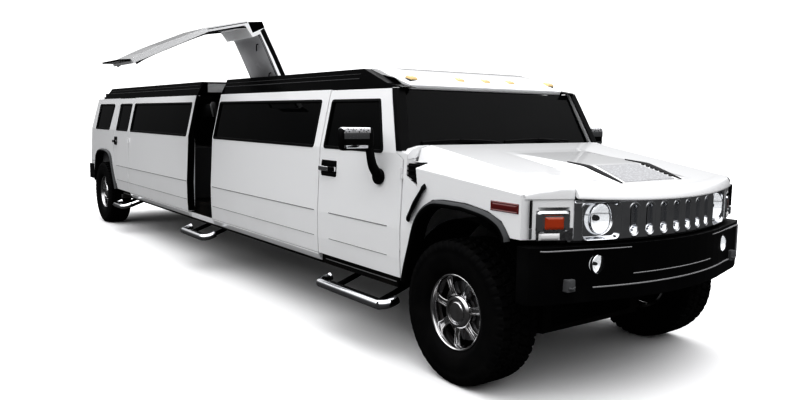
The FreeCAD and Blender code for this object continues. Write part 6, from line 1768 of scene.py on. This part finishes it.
frames = Form()
for y in frontPlaces:
    frames.add(levelPlate(y, *seatSet["foot"], 0.02, 0.006))
    for side in seatSet["railsAt"]:
        frames.add(levelPlate(y + side, *seatSet["rail"], 0.006, 0.003))
        frames.add(rod([(x, y + side * seatSet["postShare"], z) for x, z in seatSet["post"]], 0.006, 12, kind=1))
makePiece(frames, "seat_frames", ["black_plastic", "steel"], "body", ["front_seats"], sharp=40)
print("seats made")

barSet = {
    "spans": ((-2.235, -0.665), (0.305, 1.835)),
    "doors": 4,
    "gap": 0.006,
    "door": (0.66, 1.165),  # low, high
    "knob": ((0.0, 0.022), (0.008, 0.02), (0.01, 0.014), (0.005, 0.008), (0.005, 0.0)),
    "rail": (-0.60, 1.215, 0.007),  # across, height, radius
    "props": (4, 1.198, 1.216, 0.005),  # count, low, high, radius
}


# Bar: fronts divided into doors with fine gaps, a bright rail along the top and small knobs.
def barTrim(values, start, end):
    form = Form()
    width, gap = (end - start) / values["doors"], values["gap"]
    for number in range(values["doors"]):
        first, last = start + width * number + gap, start + width * (number + 1) - gap
        panel = roundedBox(first, last, *values["door"], 0.008) * (-1, 1)
        form.add(plate(panel, (0, -0.5745, 0), (-1, 0, 0), upward, -0.001, 0.007, 0.002))
        form.add(turned(values["knob"], (last - 0.05, -0.569, 0.94), leftward, 20, closed=False, kind=1))
    y, z, size = values["rail"]
    form.add(rod([(start + 0.03, y, z), (end - 0.03, y, z)], size, 12, kind=1))
    count, low, high, size = values["props"]
    for x in np.linspace(start + 0.04, end - 0.04, count):
        form.add(rod([(x, y, low), (x, y, high)], size, 10, kind=1))
    return form


bars = Form()
for start, end in barSet["spans"]:
    bars.add(barTrim(barSet, start, end))
makePiece(bars, "bar_fronts", ["cabin_trim", "chrome"], "body", sharp=40)
print("bar made")

floorSet = {
    "size": 60.0,
    "pale": (0.92, 0.92, 0.92, 1),  # as the eye sees it
    "bounce": (0.22, 0.22, 0.22, 1),  # what it throws back up
    "mirrored": (0.05, 0.05, 0.05, 1),  # as gloss shows it
}


def makeFloor(values):
    half = values["size"] / 2
    mesh = bpy.data.meshes.new("floor")
    mesh.from_pydata([(-half, -half, 0), (half, -half, 0), (half, half, 0), (-half, half, 0)], [], [(0, 1, 2, 3)])
    floor = bpy.data.objects.new("floor", mesh)
    bpy.context.scene.collection.objects.link(floor)
    pale = Finish("floorPale", Roughness=0.9, Specular_IOR_Level=0.0)
    seen = pale.make("ShaderNodeLightPath")  # 1 for what the camera sees
    dim = pale.make("ShaderNodeLightPath", take="Is Glossy Ray")
    pale.set(Base_Color=pale.mix(seen, pale.mix(dim, values["bounce"], values["mirrored"]), values["pale"]))
    mesh.materials.append(pale.material)


makeFloor(floorSet)
